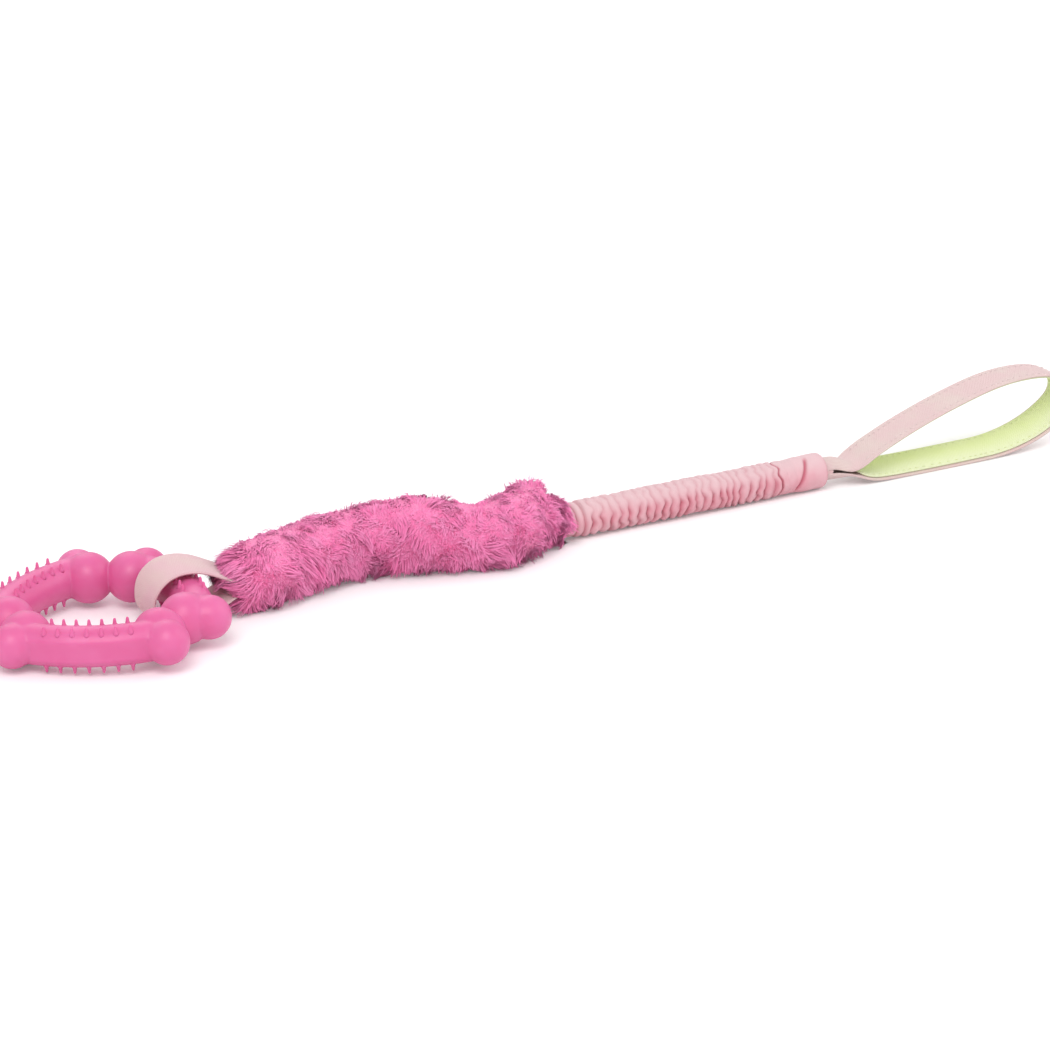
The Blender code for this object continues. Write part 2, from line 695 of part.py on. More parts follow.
def layout():
    """World places of the bodies, with the origin under the middle of the toy's box."""
    level = math.sqrt(1 - ring_slope() ** 2)
    reach = max((BONE_REACH - centre.x) * level + radius for centre, radius in lobes())
    neck = EYE_TO_MOUTH + sleeve_span()
    cuff = neck + COLLAR_LENGTH + CLEARANCE + BUNGEE_LENGTH + CLEARANCE
    pivot = cuff + CUFF_LENGTH + HANDLE_PIVOT_SETBACK
    tip = pivot + max(point.x for point in loop_path()) + OUTER_FACE
    eye = (reach - tip) / 2
    side = BUNGEE_SIDE_OFFSET
    return {
        "ring": Vector((eye, 0, EYE_HEIGHT)),
        "tab": Vector((eye + EYE_TO_MOUTH, 0, EYE_HEIGHT)),
        "sleeve": Vector((eye + EYE_TO_MOUTH, 0, 0)),
        "neck": Vector((eye + neck, side, AXIS_HEIGHT)),
        "cuff": Vector((eye + cuff, side, AXIS_HEIGHT)),
        "handle": Vector((eye + pivot, side, AXIS_HEIGHT)),
    }


def build():
    """Model every piece of the toy."""
    clear_scene()
    places = layout()
    ring_frame = frame("ring_frame", places["ring"], -math.asin(ring_slope()))
    tab_frame = frame("tab_frame", places["tab"])
    sleeve_root = frame("sleeve_frame", places["sleeve"])
    head_frame = frame("bungee_head_frame", places["neck"])
    tail_frame = frame("bungee_tail_frame", places["cuff"])
    handle_frame = frame("handle_frame", places["handle"])

    chew_ring(ring_frame)
    ring_strap(tab_frame)

    fur_sleeve(sleeve_root)
    core_strap(sleeve_root)
    fluff = finish("wadding", (0.92, 0.92, 0.90), 1.0)
    wadding("upper_wadding", 1, sleeve_root, fluff)
    wadding("lower_wadding", -1, sleeve_root, fluff)

    cloth = finish("salmon_cloth", (0.88, 0.46, 0.50), 0.85)
    thread = finish("whipping_thread", (0.85, 0.80, 0.78), 0.7)
    bungee_tongue(head_frame)
    front_collar(head_frame, cloth)
    whipping("front_whipping", head_frame, thread)
    ruched_sleeve(head_frame, cloth)
    cord_end = (places["cuff"] - places["neck"]).x + CUFF_LENGTH - TAIL_SHOULDER - CLEARANCE
    bungee_cords(head_frame, cord_end)

    rear_cuff(tail_frame, cloth)
    whipping("rear_whipping", tail_frame, thread)
    handle_tail(tail_frame, finish("tail_webbing", (0.84, 0.57, 0.60), 0.8))

    handle(handle_frame)
    for name, place in places.items():
        print(name, [round(value, 5) for value in place])


build()
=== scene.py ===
"""Looks of the bungee tug toy: moulded ring, webbing, deep plush, gathered cloth and hand loop.

Everything is in metres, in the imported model's frame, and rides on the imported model's bodies.
"""
import json
import math
import random
from types import SimpleNamespace

import bmesh
import bpy
import numpy as np
from mathutils import Matrix, Vector, kdtree, noise


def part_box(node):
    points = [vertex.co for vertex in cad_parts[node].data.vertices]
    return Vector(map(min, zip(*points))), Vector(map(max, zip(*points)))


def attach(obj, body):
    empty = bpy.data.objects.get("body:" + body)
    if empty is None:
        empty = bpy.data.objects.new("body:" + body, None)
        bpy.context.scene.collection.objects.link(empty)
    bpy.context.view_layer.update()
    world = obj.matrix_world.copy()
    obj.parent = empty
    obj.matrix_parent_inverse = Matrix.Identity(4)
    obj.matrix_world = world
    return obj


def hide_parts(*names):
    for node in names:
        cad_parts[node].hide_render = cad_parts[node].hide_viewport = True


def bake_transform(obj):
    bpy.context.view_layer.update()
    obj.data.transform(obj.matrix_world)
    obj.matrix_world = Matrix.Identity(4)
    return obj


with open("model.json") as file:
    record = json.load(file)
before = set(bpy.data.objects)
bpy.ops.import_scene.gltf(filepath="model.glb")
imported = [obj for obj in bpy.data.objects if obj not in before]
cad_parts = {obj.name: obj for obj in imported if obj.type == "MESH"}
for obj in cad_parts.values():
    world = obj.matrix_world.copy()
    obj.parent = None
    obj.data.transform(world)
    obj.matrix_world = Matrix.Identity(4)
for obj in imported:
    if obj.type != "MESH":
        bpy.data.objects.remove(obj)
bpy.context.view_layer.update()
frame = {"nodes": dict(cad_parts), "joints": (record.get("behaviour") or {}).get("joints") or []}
JOINT_PLACES = {joint["name"]: joint.get("pos_m") for joint in frame["joints"]}
EYE = Vector(JOINT_PLACES["ring_swing"])
MOUTH = Vector(JOINT_PLACES["ring_tab_flex"])
NECK = Vector(JOINT_PLACES["neck_flex"])
LOOP_PIVOT = Vector(JOINT_PLACES["handle_flex"])
CUFF_FRONT, CUFF_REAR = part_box("rear_cuff")
UP = Vector((0, 0, 1))

# Fits
CLEARANCE = 0.0003
FLAT_CUT = 0.0005
SEAM_GAP = 0.000001

# Chew ring, as the source sizes it
BONE_COUNT = 3
BONE_REACH = 0.0466
BONE_BEND_RADIUS = 0.085
SHAFT_RADIUS = 0.0106
SHAFT_SIDE = 0.0093
LOBE_ALONG = 0.0378
LOBE_OFFSET = 0.0062
INNER_LOBE_RADIUS = 0.0137
OUTER_LOBE_RADIUS = 0.0116
RING_STEPS = 336
RING_SIDES = 80
CREASE_SOFTNESS = 0.0008
PANEL_SOFTNESS = 0.0002

# Nubs, a little slimmer than the source's
NUBS_PER_ROW = 7
NUB_PITCH = 0.0069
NUB_ROW_OFFSET = 0.0055
NUB_RISE = 0.0019
NUB_BASE_RADIUS = 0.0011
NUB_TIP_RADIUS = 0.0006
NUB_ROOT = 0.0016
NUB_FILLET = 0.0004
NUB_STEPS = 12

# Webbing
WEBBING_WIDTH = 0.025
WEBBING_THICKNESS = 0.0016
TAPE_SIDES = 72
MIN_CURL = 0.02
RIB_PITCH = 0.0011
PICK_PITCH = 0.0013
STITCH_PITCH = 0.0034
STITCH_LENGTH = 0.0025
THREAD_RADIUS = 0.00028
STITCH_RISE = 0.6
STITCH_DIVE = 2.2
YARN_HEIGHT = 0.00022

# Ring strap: its places are its middle seen from the side, about the eye
STRAP_TWIST = 0.0012
STRAP_TWIST_RISE = 0.008
STRAP_SMOOTH_STEPS = 6
STRAP_RUMPLE = 0.0004
STRAP_PLACES = (
    (0.0467, 0.0010), (0.0400, 0.0014), (0.0345, 0.0020), (0.0290, 0.0036), (0.0200, 0.0082),
    (0.0100, 0.0130), (0.0010, 0.0154), (-0.0075, 0.0152), (-0.0145, 0.0122), (-0.0194, 0.0066),
    (-0.0212, -0.0004), (-0.0198, -0.0076), (-0.0152, -0.0126), (-0.0080, -0.0151),
    (0.0010, -0.0156), (0.0100, -0.0136), (0.0180, -0.0080), (0.0260, -0.0040),
    (0.0340, -0.0022), (0.0400, -0.0013), (0.0467, -0.0010),
)

# Plush sleeve: it lies as in the source, and is fuller in its middle and at its rear.
# A swell has its place, its reach and its height
SLEEVE_LENGTH = 0.198
SLEEVE_RADIUS = 0.0192
SLEEVE_SWELLS = ((0.110, 0.018, 0.0019), (0.141, 0.008, -0.0009), (0.162, 0.010, 0.0005))
MOUTH_RADIUS = EYE.z + FLAT_CUT
MOUTH_BORE = 0.01301
MOUTH_TAPER = 0.014
MOUTH_SLOT = 0.0042
LIP_SHARE = 0.04
BACKING_SHARE = 0.72
BACKING_STEPS = 200
BACKING_SIDES = 64
REAR_RADIUS = NECK.z + FLAT_CUT
REAR_BORE = 0.0097
REAR_TAPER = 0.013
REAR_STRAIGHT = 0.010
SLEEVE_SWAY = 0.014
SWAY_SKEW_SHARE = 1.45
SWAY_EASE_SHARE = 0.15
BUNGEE_SIDE_OFFSET = 0.006

# Hairs of the plush; a spread is the least and the greatest of a random share
PILE_SEED = 11
PILE_DEPTH = 0.0026
HAIR_COUNT = 27000
RIM_HAIR_COUNT = 3000
HAIRS_PER_PIECE = 14000
HAIR_LENGTH = 0.0068
HAIR_RADIUS = 0.00036
HAIR_TAPER = 0.75
HAIR_FLATNESS = 0.45
HAIR_SPIN = 0.45
LENGTH_SPREAD = (0.75, 1.15)
RISE_SPREAD = (0.85, 1.15)
THICKNESS_SPREAD = (0.75, 1.2)
BEND_RISE_SHARE = 1.05
BEND_LEAN_SHARE = 0.35
TIP_SCATTER_SHARE = 0.05
STRAY_SHARE = 0.05
STRAY_RISE = 1.5
NORMAL_NUDGE = 0.01
SURFACE_SHARE = 0.78

# Locks that the hairs are drawn into, how the pile's height changes from place to place, and its patches
# of painted light and shade
LOCK_COUNT = 1300
LOCK_FRAY_SHARE = 0.3
LOCK_PULL_SHARE = 0.26
LOCK_LEAN_SHARE = 0.20
PULL_SPREAD = (0.5, 1.3)
TUFT_PITCH = 0.0085
TUFT_SHARE = 0.16
TUFT_LIMITS = (0.7, 1.35)
PAINTED_PATCH_PITCH = 0.016
PAINTED_PATCH_SHARE = 0.28
LOCK_FAIR_SHARE = 0.14
WAVE_COUNT = 9
WAVE_STRETCH = 1.7

# Lie of the pile along the sleeve, and at its mouth, its rear and their rims
LIE_PITCH = 0.021
PILE_LEAN_SHARE = 0.46
PILE_DROOP_SHARE = 0.34
MOUTH_SWEEP = 0.012
MOUTH_CALM_SHARE = 0.6
MOUTH_LOW_SHARE = 0.1
MOUTH_TOP_SHARE = 1.45
MOUTH_TOP_REACH = 1.6
REAR_SWEEP = 0.009
REAR_LEAN_SHARE = 0.15
REAR_FULLNESS = 0.0062
REAR_SPREAD = (0.3, 1.1)
RIM_SPREAD = (0.88, 1.05)
RIM_LENGTH_SHARE = 1.2
RIM_TUCK_SPREAD = (0.4, 1.5)

# Cloth of the bungee
BUNGEE_LENGTH = 0.1415
BUNGEE_BORE = 0.00765
CLOTH_WALL = 0.0006
CLOTH_LAP = 0.0012
# Painted light: the cloth grows paler from the neck's height up to this many times it
PAINTED_LIGHT_TOP_SHARE = 1.9

# Gathers, counted and sized as in the source
GATHER_COUNT = 26
GATHER_WALL = 0.0006
GATHER_DEPTH = 0.0016
GATHER_LEAN = 0.0006
GATHER_TURN = math.radians(52)
GATHER_SEED = 5
GATHER_WIDTH_SHARE = 0.20
GATHER_DEPTH_SHARE = 0.30
GATHER_CREST_SHARE = 0.24

# Folds over the gathers; a noise has its scale along the cloth, its scale round it and a shift
GATHERED_WALL = 0.0004
GATHERED_FULLNESS = 2
GATHERED_SIDES = 76
STEPS_PER_GATHER = 18
GATHER_REACH = 0.0006
SMOOTH_END = 0.0095
FRONT_EDGE = 0.0012
VALLEY_DEPTH = 0.0010
LAST_FOLD = 0.0008
BRINK_SHADE = 0.8
FOLD_WANDER = 0.0028
FOLD_CRIMP = 0.00025
FOLD_SWELL = 0.0006
FOLD_EASE_SHARE = 0.04
FOLD_ROUNDING = 0.75
TOP_START = 0.05
TOP_EASE = 0.6
TOP_FOLD_SHARE = 0.30
LEAST_FOLD_SHARE = 0.35
WANDER_NOISE = (95, 1.9, 7)
PATCHY_NOISE = (180, 2, 9)
SWELL_NOISE = (60, 0.8, 40)
CRIMP_NOISE = (800, 3, 0)

# Collar, and the cloth that runs on from it into the plush
COLLAR_LENGTH = 0.010
COLLAR_RADIUS = 0.00915
COLLAR_STEPS = 60
COLLAR_EDGE = 0.0006
COLLAR_EDGE_SHARE = 0.12
COLLAR_ROLL = 0.0007
COLLAR_ROUNDING = 0.45
COLLAR_FOLD = GATHER_DEPTH * 0.6
COLLAR_FOLD_START = 0.46
COLLAR_FOLD_SLANT = 0.05
COLLAR_FOLD_TURN = 0.6
COLLAR_FOLD_SPAN = 0.50
NECK_TUCK = 0.014
NECK_INSET = 0.0012
NECK_REACH = COLLAR_LENGTH * 0.6

# Cuff, its crease and its drawn-in end
CUFF_RADIUS = 0.01035
CUFF_STEPS = 90
CUFF_SIDES = 96
CUFF_LIP = 0.0014
CUFF_SQUARENESS = 16
CUFF_FLUSH_SHARE = 0.3
CUFF_SOFTNESS = 0.0003
CUFF_GAP_SHARE = 0.004
CREASE_START_DEGREES = 196
CREASE_SPAN_DEGREES = 125
CREASE_DEPTH = 0.0014
CREASE_PLACE = 0.42
CREASE_SLANT = 0.40
CREASE_WIDTH = 0.055
CREASE_FADE = 0.1
CREASE_SHADE = 0.9
PUCKER_DEPTH = 0.0004
PUCKER_COUNT = 13
DRAWN_END_STEPS = 16
# Painted light on the drawn-in end: under 1, so a little painted shade
DRAWN_END_PAINTED_LIGHT = 0.8

# Hand loop, as the source bends it past its neck, where the tapes are curled shut
HANDLE_LENGTH = 0.178
HANDLE_HEIGHT = 0.0476
HANDLE_WEB_THICKNESS = 0.0012
LINING_THICKNESS = 0.0010
LINING_WIDTH = 0.0218
LAYER_SEAM = CLEARANCE / 2
# How far across the lining its painted light near the edge reaches, in lining widths
LIT_EDGE_REACH = 1.7
NECK_CLOSED = 0.003
NECK_FLARE = 0.021
PIVOT_SETBACK = 0.0035
FLEX_REACH = 0.003
LOOP_TILT = math.radians(12)
TILT_END_SHARE = 0.56
TILT_EASE_SHARE = 0.16
LOOP_TUCK = 0.012
LOOP_SHARES = (
    (0.125, 0.100), (0.200, 0.020), (0.340, 0.0), (0.560, 0.0), (0.700, 0.020),
    (0.815, 0.121), (0.910, 0.300), (0.972, 0.536), (0.968, 0.777), (0.905, 0.940),
    (0.800, 1.0), (0.665, 0.957), (0.500, 0.788), (0.340, 0.570), (0.205, 0.340),
    (0.110, 0.145),
)
SMOOTH_STEPS = 14
STITCH_INSET = 0.0022
STITCHED_FLARE = 0.97
NECK_CURL = math.radians(86)
CURL_TUCK = 0.0014
TAPE_NECK_WIDTH = 0.0176
LINING_NECK_WIDTH = 0.0030
LINING_START_SHARE = 0.45

# Hidden wadding
WADDING_DENT = 0.0006
DENT_SCALE = 220.0

# Camera and light; a lamp has its place, its size and its power
CAMERA_AZIMUTH = math.radians(-29.8)
CAMERA_ELEVATION = math.radians(20.5)
CAMERA_DISTANCE = 1.94
CAMERA_LENS = 120
CAMERA_TARGET = Vector((MOUTH.x + 0.1827, MOUTH.y + 0.0123, 0.010))
LAMPS = (
    ("key", (-1.0, -1.1, 1.9), 1.2, 23.3),
    ("fill", (1.5, -0.7, 1.2), 1.5, 9.3),
    ("back", (0.2, 1.6, 1.3), 1.2, 5.8),
)
WORLD_STRENGTH = 0.72
FLOOR_GLOW = 0.12
FLOOR_HALF_WIDTH = 4.0


# Mesh tools

def ease(share):
    """Ease from 0 to 1 with level ends, for a number or an array."""
    held = np.clip(share, 0.0, 1.0)
    return held * held * (3 - 2 * held)


def wobble(point, scale, seed):
    """Smooth noise between -1 and 1."""
    return noise.noise(Vector(point) * scale + Vector((seed, -seed, seed * 2)))


def laid_grid(steps_along, steps_round, place, cloth_size):
    """A grid laid out by place(along, round), both from 0 to 1; its UVs are in metres of cloth."""
    bm = bmesh.new()
    bmesh.ops.create_grid(bm, x_segments=steps_along, y_segments=steps_round, size=0.5)
    cloth = bm.loops.layers.uv.new("Cloth")
    for face in bm.faces:
        for corner in face.loops:
            along, round_share = corner.vert.co.x + 0.5, corner.vert.co.y + 0.5
            corner[cloth].uv = (along * cloth_size[0], round_share * cloth_size[1])
    for vert in bm.verts:
        vert.co = place(vert.co.x + 0.5, vert.co.y + 0.5)
    bmesh.ops.remove_doubles(bm, verts=bm.verts, dist=SEAM_GAP)
    bmesh.ops.recalc_face_normals(bm, faces=bm.faces)
    return bm


def link_mesh(name, data, material, slot):
    """Link finished mesh data as a smooth shaded piece of the toy."""
    data.shade_smooth()
    made = bpy.data.objects.new(name, data)
    bpy.context.scene.collection.objects.link(made)
    data.materials.append(material)
    return made


def piece(name, bm, material, slot):
    """Turn a bmesh into a piece of the toy."""
    data = bpy.data.meshes.new(name)
    bm.to_mesh(data)
    bm.free()
    return link_mesh(name, data, material, slot)


def thicken(made, thickness):
    """Give a cloth surface its thickness, inwards."""
    wall = made.modifiers.new("thickness", "SOLIDIFY")
    wall.thickness = thickness
    wall.offset = -1.0
    return made


def shape_arrays(bm):
    """Points and faces of a small shape that is copied many times."""
    bm.verts.index_update()
    points = np.array([vert.co for vert in bm.verts])
    faces = [[vert.index for vert in face.verts] for face in bm.faces]
    bm.free()
    return points, faces


def copied_mesh(name, points, faces, copy_count):
    """Mesh of many copies of a small shape; points holds the points of each copy in turn."""
    shifts = range(0, len(points), len(points) // copy_count)
    all_faces = [[corner + shift for corner in face] for shift in shifts for face in faces]
    data = bpy.data.meshes.new(name)
    data.from_pydata(points, [], all_faces)
    return data


def copies(name, shape, matrices, material, slot):
    """One piece that holds a copy of a shape at each matrix."""
    points, faces = shape
    flat = np.hstack([points, np.ones((len(points), 1))])
    placed = np.concatenate([(flat @ np.array(matrix).T)[:, :3] for matrix in matrices])
    return link_mesh(name, copied_mesh(name, placed, faces, len(matrices)), material, slot)


def facing(place, normal, ahead):
    """Matrix that puts a shape at a place with Z along the normal and X ahead."""
    up = Vector(normal).normalized()
    side = up.cross(Vector(ahead)).normalized()
    front = side.cross(up)
    turned = Matrix((front, side, up)).transposed().to_4x4()
    turned.translation = place
    return turned


def stitch_shape():
    """One stitch: a short round thread whose ends dive into the cloth."""
    bm = bmesh.new()
    bmesh.ops.create_cone(bm, cap_ends=True, segments=6, radius1=THREAD_RADIUS,
                          radius2=THREAD_RADIUS, depth=STITCH_LENGTH)
    for share in (-0.25, 0.0, 0.25):
        geometry = bm.verts[:] + bm.edges[:] + bm.faces[:]
        bmesh.ops.bisect_plane(bm, geom=geometry, plane_co=(0, 0, share * STITCH_LENGTH),
                               plane_no=(0, 0, 1))
    bmesh.ops.rotate(bm, verts=bm.verts, cent=(0, 0, 0),
                     matrix=Matrix.Rotation(math.pi / 2, 3, "Y"))
    for vert in bm.verts:
        share = 2 * vert.co.x / STITCH_LENGTH
        vert.co.z += THREAD_RADIUS * (STITCH_RISE - STITCH_DIVE * share ** 4)
    return shape_arrays(bm)


# Material tools

def material_with(name, roughness, settings=()):
    """A Principled material with its uniform values set on the shader's own sockets."""
    material = bpy.data.materials.new(name)
    material.use_nodes = True
    shader = material.node_tree.nodes["Principled BSDF"]
    shader.inputs["Roughness"].default_value = roughness
    for socket, value in settings:
        shader.inputs[socket].default_value = value
    return material, material.node_tree, shader


def node(tree, kind, inputs=(), **settings):
    """Add a node with its settings and socket values."""
    made = tree.nodes.new(kind)
    for key, value in settings.items():
        setattr(made, key, value)
    for socket, value in inputs:
        made.inputs[socket].default_value = value
    return made


def maths(tree, operation, first, second=0.0, third=0.0):
    """One Math node; each input is a socket or a number."""
    made = node(tree, "ShaderNodeMath", operation=operation)
    for index, value in enumerate((first, second, third)):
        if isinstance(value, bpy.types.NodeSocket):
            tree.links.new(value, made.inputs[index])
        else:
            made.inputs[index].default_value = value
    return made.outputs[0]


def between(tree, factor, first, second):
    """Mix two colours, each a socket or linear RGB, by a factor."""
    made = node(tree, "ShaderNodeMix", data_type="RGBA")
    tree.links.new(factor, made.inputs[0])
    for socket, value in ((made.inputs[6], first), (made.inputs[7], second)):
        if isinstance(value, bpy.types.NodeSocket):
            tree.links.new(value, socket)
        else:
            socket.default_value = (*value, 1.0)
    return made.outputs[2]


def smooth_range(tree, value, low, high):
    """A value stretched so that low to high becomes 0 to 1, with level ends."""
    ramp = node(tree, "ShaderNodeMapRange",
                (("From Min", low), ("From Max", high)), interpolation_type="SMOOTHSTEP")
    tree.links.new(value, ramp.inputs["Value"])
    return ramp.outputs["Result"]


def cloudy(tree, scale, detail=3.0, low=0.35, high=0.65):
    """Soft noise on Object coordinates, stretched to run from 0 to 1."""
    where = node(tree, "ShaderNodeTexCoord")
    clouds = node(tree, "ShaderNodeTexNoise", (("Scale", scale), ("Detail", detail)))
    tree.links.new(where.outputs["Object"], clouds.inputs["Vector"])
    return smooth_range(tree, clouds.outputs["Fac"], low, high)


def axes_of(tree, vector):
    """The X, Y and Z sockets of a vector."""
    split = node(tree, "ShaderNodeSeparateXYZ")
    tree.links.new(vector, split.inputs["Vector"])
    return split.outputs


def cloth_axes(tree):
    """Sockets of the distances along and across the piece's cloth, from its UVs."""
    return axes_of(tree, node(tree, "ShaderNodeUVMap", uv_map="Cloth").outputs["UV"])


def raised(tree, shader, height, distance, strength=1.0):
    """Bump the shader's normal by a height."""
    bump = node(tree, "ShaderNodeBump", (("Strength", strength), ("Distance", distance)))
    tree.links.new(height, bump.inputs["Height"])
    tree.links.new(bump.outputs["Normal"], shader.inputs["Normal"])


def weave_height(tree, rib_pitch, pick_pitch):
    """Height of a plain weave over the piece's cloth UVs: ribs along it, picks across it."""
    cloth = cloth_axes(tree)
    rib = maths(tree, "MULTIPLY", cloth["Y"], math.pi / rib_pitch)
    crown = maths(tree, "ABSOLUTE", maths(tree, "SINE", rib))
    row = maths(tree, "FLOOR", maths(tree, "MULTIPLY", cloth["Y"], 1 / rib_pitch))
    pick = maths(tree, "MULTIPLY_ADD", cloth["X"], math.pi / pick_pitch,
                 maths(tree, "MULTIPLY", row, math.pi / 2))
    over = maths(tree, "ABSOLUTE", maths(tree, "SINE", pick))
    return maths(tree, "MULTIPLY", crown, maths(tree, "MULTIPLY_ADD", over, 0.5, 0.5))


def speckled(name, roughness, sheen, colours, texture):
    """A cloudy cloth or thread.

    Its colours are a noise scale and two colours, and its texture a noise scale and a height."""
    material, tree, shader = material_with(name, roughness, (("Sheen Weight", sheen),))
    scale, first, second = colours
    shown = between(tree, cloudy(tree, scale), first, second)
    tree.links.new(shown, shader.inputs["Base Color"])
    raised(tree, shader, cloudy(tree, texture[0]), texture[1])
    return material


def woven(name, colour, yarn_gap_shade, worn_colour, lit_edge_colour=None):
    """Woven tape: painted shade between its yarns, uneven in colour, and painted light near one edge if
    asked.
    """
    material, tree, shader = material_with(
        name, 0.78, (("Sheen Weight", 0.25), ("Sheen Roughness", 0.5), ("Specular IOR Level", 0.25)))
    height = weave_height(tree, RIB_PITCH, PICK_PITCH)
    patchy = between(tree, cloudy(tree, 55.0), colour, worn_colour)
    # Painted light near one edge
    if lit_edge_colour:
        inwards = smooth_range(tree, cloth_axes(tree)["Y"], LINING_WIDTH, LINING_WIDTH * LIT_EDGE_REACH)
        patchy = between(tree, inwards, lit_edge_colour, patchy)
    # Painted shade between the yarns, where the weave is low
    shown = between(tree, maths(tree, "POWER", height, 0.6), yarn_gap_shade, patchy)
    tree.links.new(shown, shader.inputs["Base Color"])
    raised(tree, shader, height, YARN_HEIGHT)
    return material


def moulded_rubber():
    """Soft gloss pink rubber with a faint mould texture."""
    material, tree, shader = material_with("moulded_rubber", 0.38, (
        ("Subsurface Weight", 0.20), ("Subsurface Radius", (1.0, 0.35, 0.5)),
        ("Subsurface Scale", 0.004), ("Specular IOR Level", 0.45)))
    shown = between(tree, cloudy(tree, 38.0), (0.715, 0.120, 0.320), (0.745, 0.148, 0.362))
    tree.links.new(shown, shader.inputs["Base Color"])
    grain = cloudy(tree, 1500.0, 2.0, 0.2, 0.8)
    tree.links.new(maths(tree, "MULTIPLY_ADD", grain, 0.10, 0.34), shader.inputs["Roughness"])
    raised(tree, shader, grain, 0.00003, 0.5)
    return material


def plush_hair():
    """Pile fibre: painted shade at the root, lighter at the tip, painted light and shade in patches, and
    each lock and hair a little different.
    """
    material, tree, shader = material_with("plush_hair", 0.62, (("Specular IOR Level", 0.2),))
    pile = node(tree, "ShaderNodeAttribute", attribute_name="Pile")
    split = node(tree, "ShaderNodeSeparateColor")
    tree.links.new(pile.outputs["Color"], split.inputs["Color"])
    towards_tip = maths(tree, "POWER", split.outputs["Red"], 0.6)
    fair_hair = maths(tree, "MULTIPLY", split.outputs["Blue"], 0.30)
    # Painted light and shade in soft patches over the pile
    patchy = between(tree, split.outputs["Green"], (1.00, 0.190, 0.470), (1.00, 0.310, 0.590))
    # Painted shade: deep pink at the root
    tipped = between(tree, towards_tip, (1.00, 0.175, 0.440), patchy)
    shown = between(tree, fair_hair, tipped, (1.00, 0.430, 0.690))
    tree.links.new(shown, shader.inputs["Base Color"])
    return material


def plush_backing():
    """Knitted backing of the plush, seen between the locks."""
    return speckled("plush_backing", 0.9, 0.3, (300.0, (0.98, 0.200, 0.460), (1.00, 0.250, 0.520)),
                    (900.0, 0.0004))


def gathered_cloth():
    """Salmon cloth with a fine weave: painted shade, deep red, in the folds, and painted light that
    makes it paler on top.
    """
    material, tree, shader = material_with(
        "gathered_cloth", 0.8, (("Sheen Weight", 0.3), ("Sheen Roughness", 0.45),
                                ("Specular IOR Level", 0.25)))
    fold_shade = node(tree, "ShaderNodeAttribute", attribute_name="PaintedLight")
    where = axes_of(tree, node(tree, "ShaderNodeTexCoord").outputs["Object"])
    # Painted light: the cloth turns paler from the neck's height upwards
    upper = smooth_range(tree, where["Z"], NECK.z, NECK.z * PAINTED_LIGHT_TOP_SHARE)
    lower_side = between(tree, cloudy(tree, 70.0), (0.755, 0.350, 0.410), (0.770, 0.430, 0.480))
    crest = between(tree, upper, lower_side, (0.770, 0.520, 0.550))
    # Painted shade: deep red in the folds, where the attribute from radius_at is low
    light = maths(tree, "POWER", fold_shade.outputs["Fac"], 1.2)
    shown = between(tree, light, (0.55, 0.125, 0.180), crest)
    tree.links.new(shown, shader.inputs["Base Color"])
    raised(tree, shader, weave_height(tree, 0.0006, 0.0007), 0.00012)
    return material


def elastic_sheath():
    """Pale braided sheath of the elastic cords."""
    return speckled("elastic_sheath", 0.7, 0.2, (900.0, (0.62, 0.60, 0.58), (0.84, 0.82, 0.80)),
                    (1200.0, 0.0002))


def sewing_thread(name, colour, dark):
    """Twisted thread."""
    return speckled(name, 0.55, 0.2, (1600.0, dark, colour), (2600.0, 0.00008))


def fibre_fill():
    """White wadding."""
    material, tree, shader = material_with("fibre_fill", 1.0)
    shown = between(tree, cloudy(tree, 240.0, 8.0), (0.78, 0.78, 0.77), (0.93, 0.93, 0.92))
    tree.links.new(shown, shader.inputs["Base Color"])
    raised(tree, shader, cloudy(tree, 500.0, 8.0), 0.0012)
    return material


# Chew ring

def bone_point(along, across):
    """A place beside the bent middle line of the bone that lies across +X, seen from above."""
    turn = along / BONE_BEND_RADIUS
    reach = BONE_BEND_RADIUS + across
    return Vector((BONE_REACH - BONE_BEND_RADIUS + reach * math.cos(turn), reach * math.sin(turn), 0))


def lobes():
    """Middle and radius of every lobe, about the ring's centre."""
    made = []
    for bone in range(BONE_COUNT):
        turned_bone = Matrix.Rotation(math.tau * bone / BONE_COUNT, 3, "Z")
        for end in (-LOBE_ALONG, LOBE_ALONG):
            made.append((turned_bone @ bone_point(end, -LOBE_OFFSET), INNER_LOBE_RADIUS))
            made.append((turned_bone @ bone_point(end, LOBE_OFFSET), OUTER_LOBE_RADIUS))
    return made


def ring_matrix():
    """From the ring's own centre to its place in the strap's eye, tipped down to the floor."""
    slopes = [(EYE.z - radius) / (BONE_REACH - centre.x)
              for centre, radius in lobes() if centre.x < 0]
    tipped = Matrix.Rotation(-math.asin(min(slopes)), 4, "Y")
    return Matrix.Translation(EYE) @ tipped @ Matrix.Translation((-BONE_REACH, 0, 0))


def shaft_reach(turn):
    """From the ring's centre to the nearest bone's middle line, or None past its lobes."""
    bone = math.tau / BONE_COUNT
    turn = (turn + bone / 2) % bone - bone / 2
    bone_end = bone_point(LOBE_ALONG, 0)
    if abs(turn) > math.atan2(bone_end.y, bone_end.x):
        return None
    setback = BONE_BEND_RADIUS - BONE_REACH
    return math.sqrt(BONE_BEND_RADIUS ** 2 - (setback * math.sin(turn)) ** 2) - setback * math.cos(turn)


def way_out(start, ahead, centre, radius):
    """How far a line from start runs before it leaves a ball, or 0 where it misses the ball."""
    nearest = (centre - start).dot(ahead)
    spare = radius ** 2 - (centre - start).length_squared + nearest ** 2
    return nearest + math.sqrt(spare) if spare > 0 else 0.0


def softened(first, second, softness):
    """The greater of two lengths, filled a little where they are close."""
    close = max(softness - abs(first - second), 0.0) / softness
    return max(first, second) + close ** 2 * softness / 4


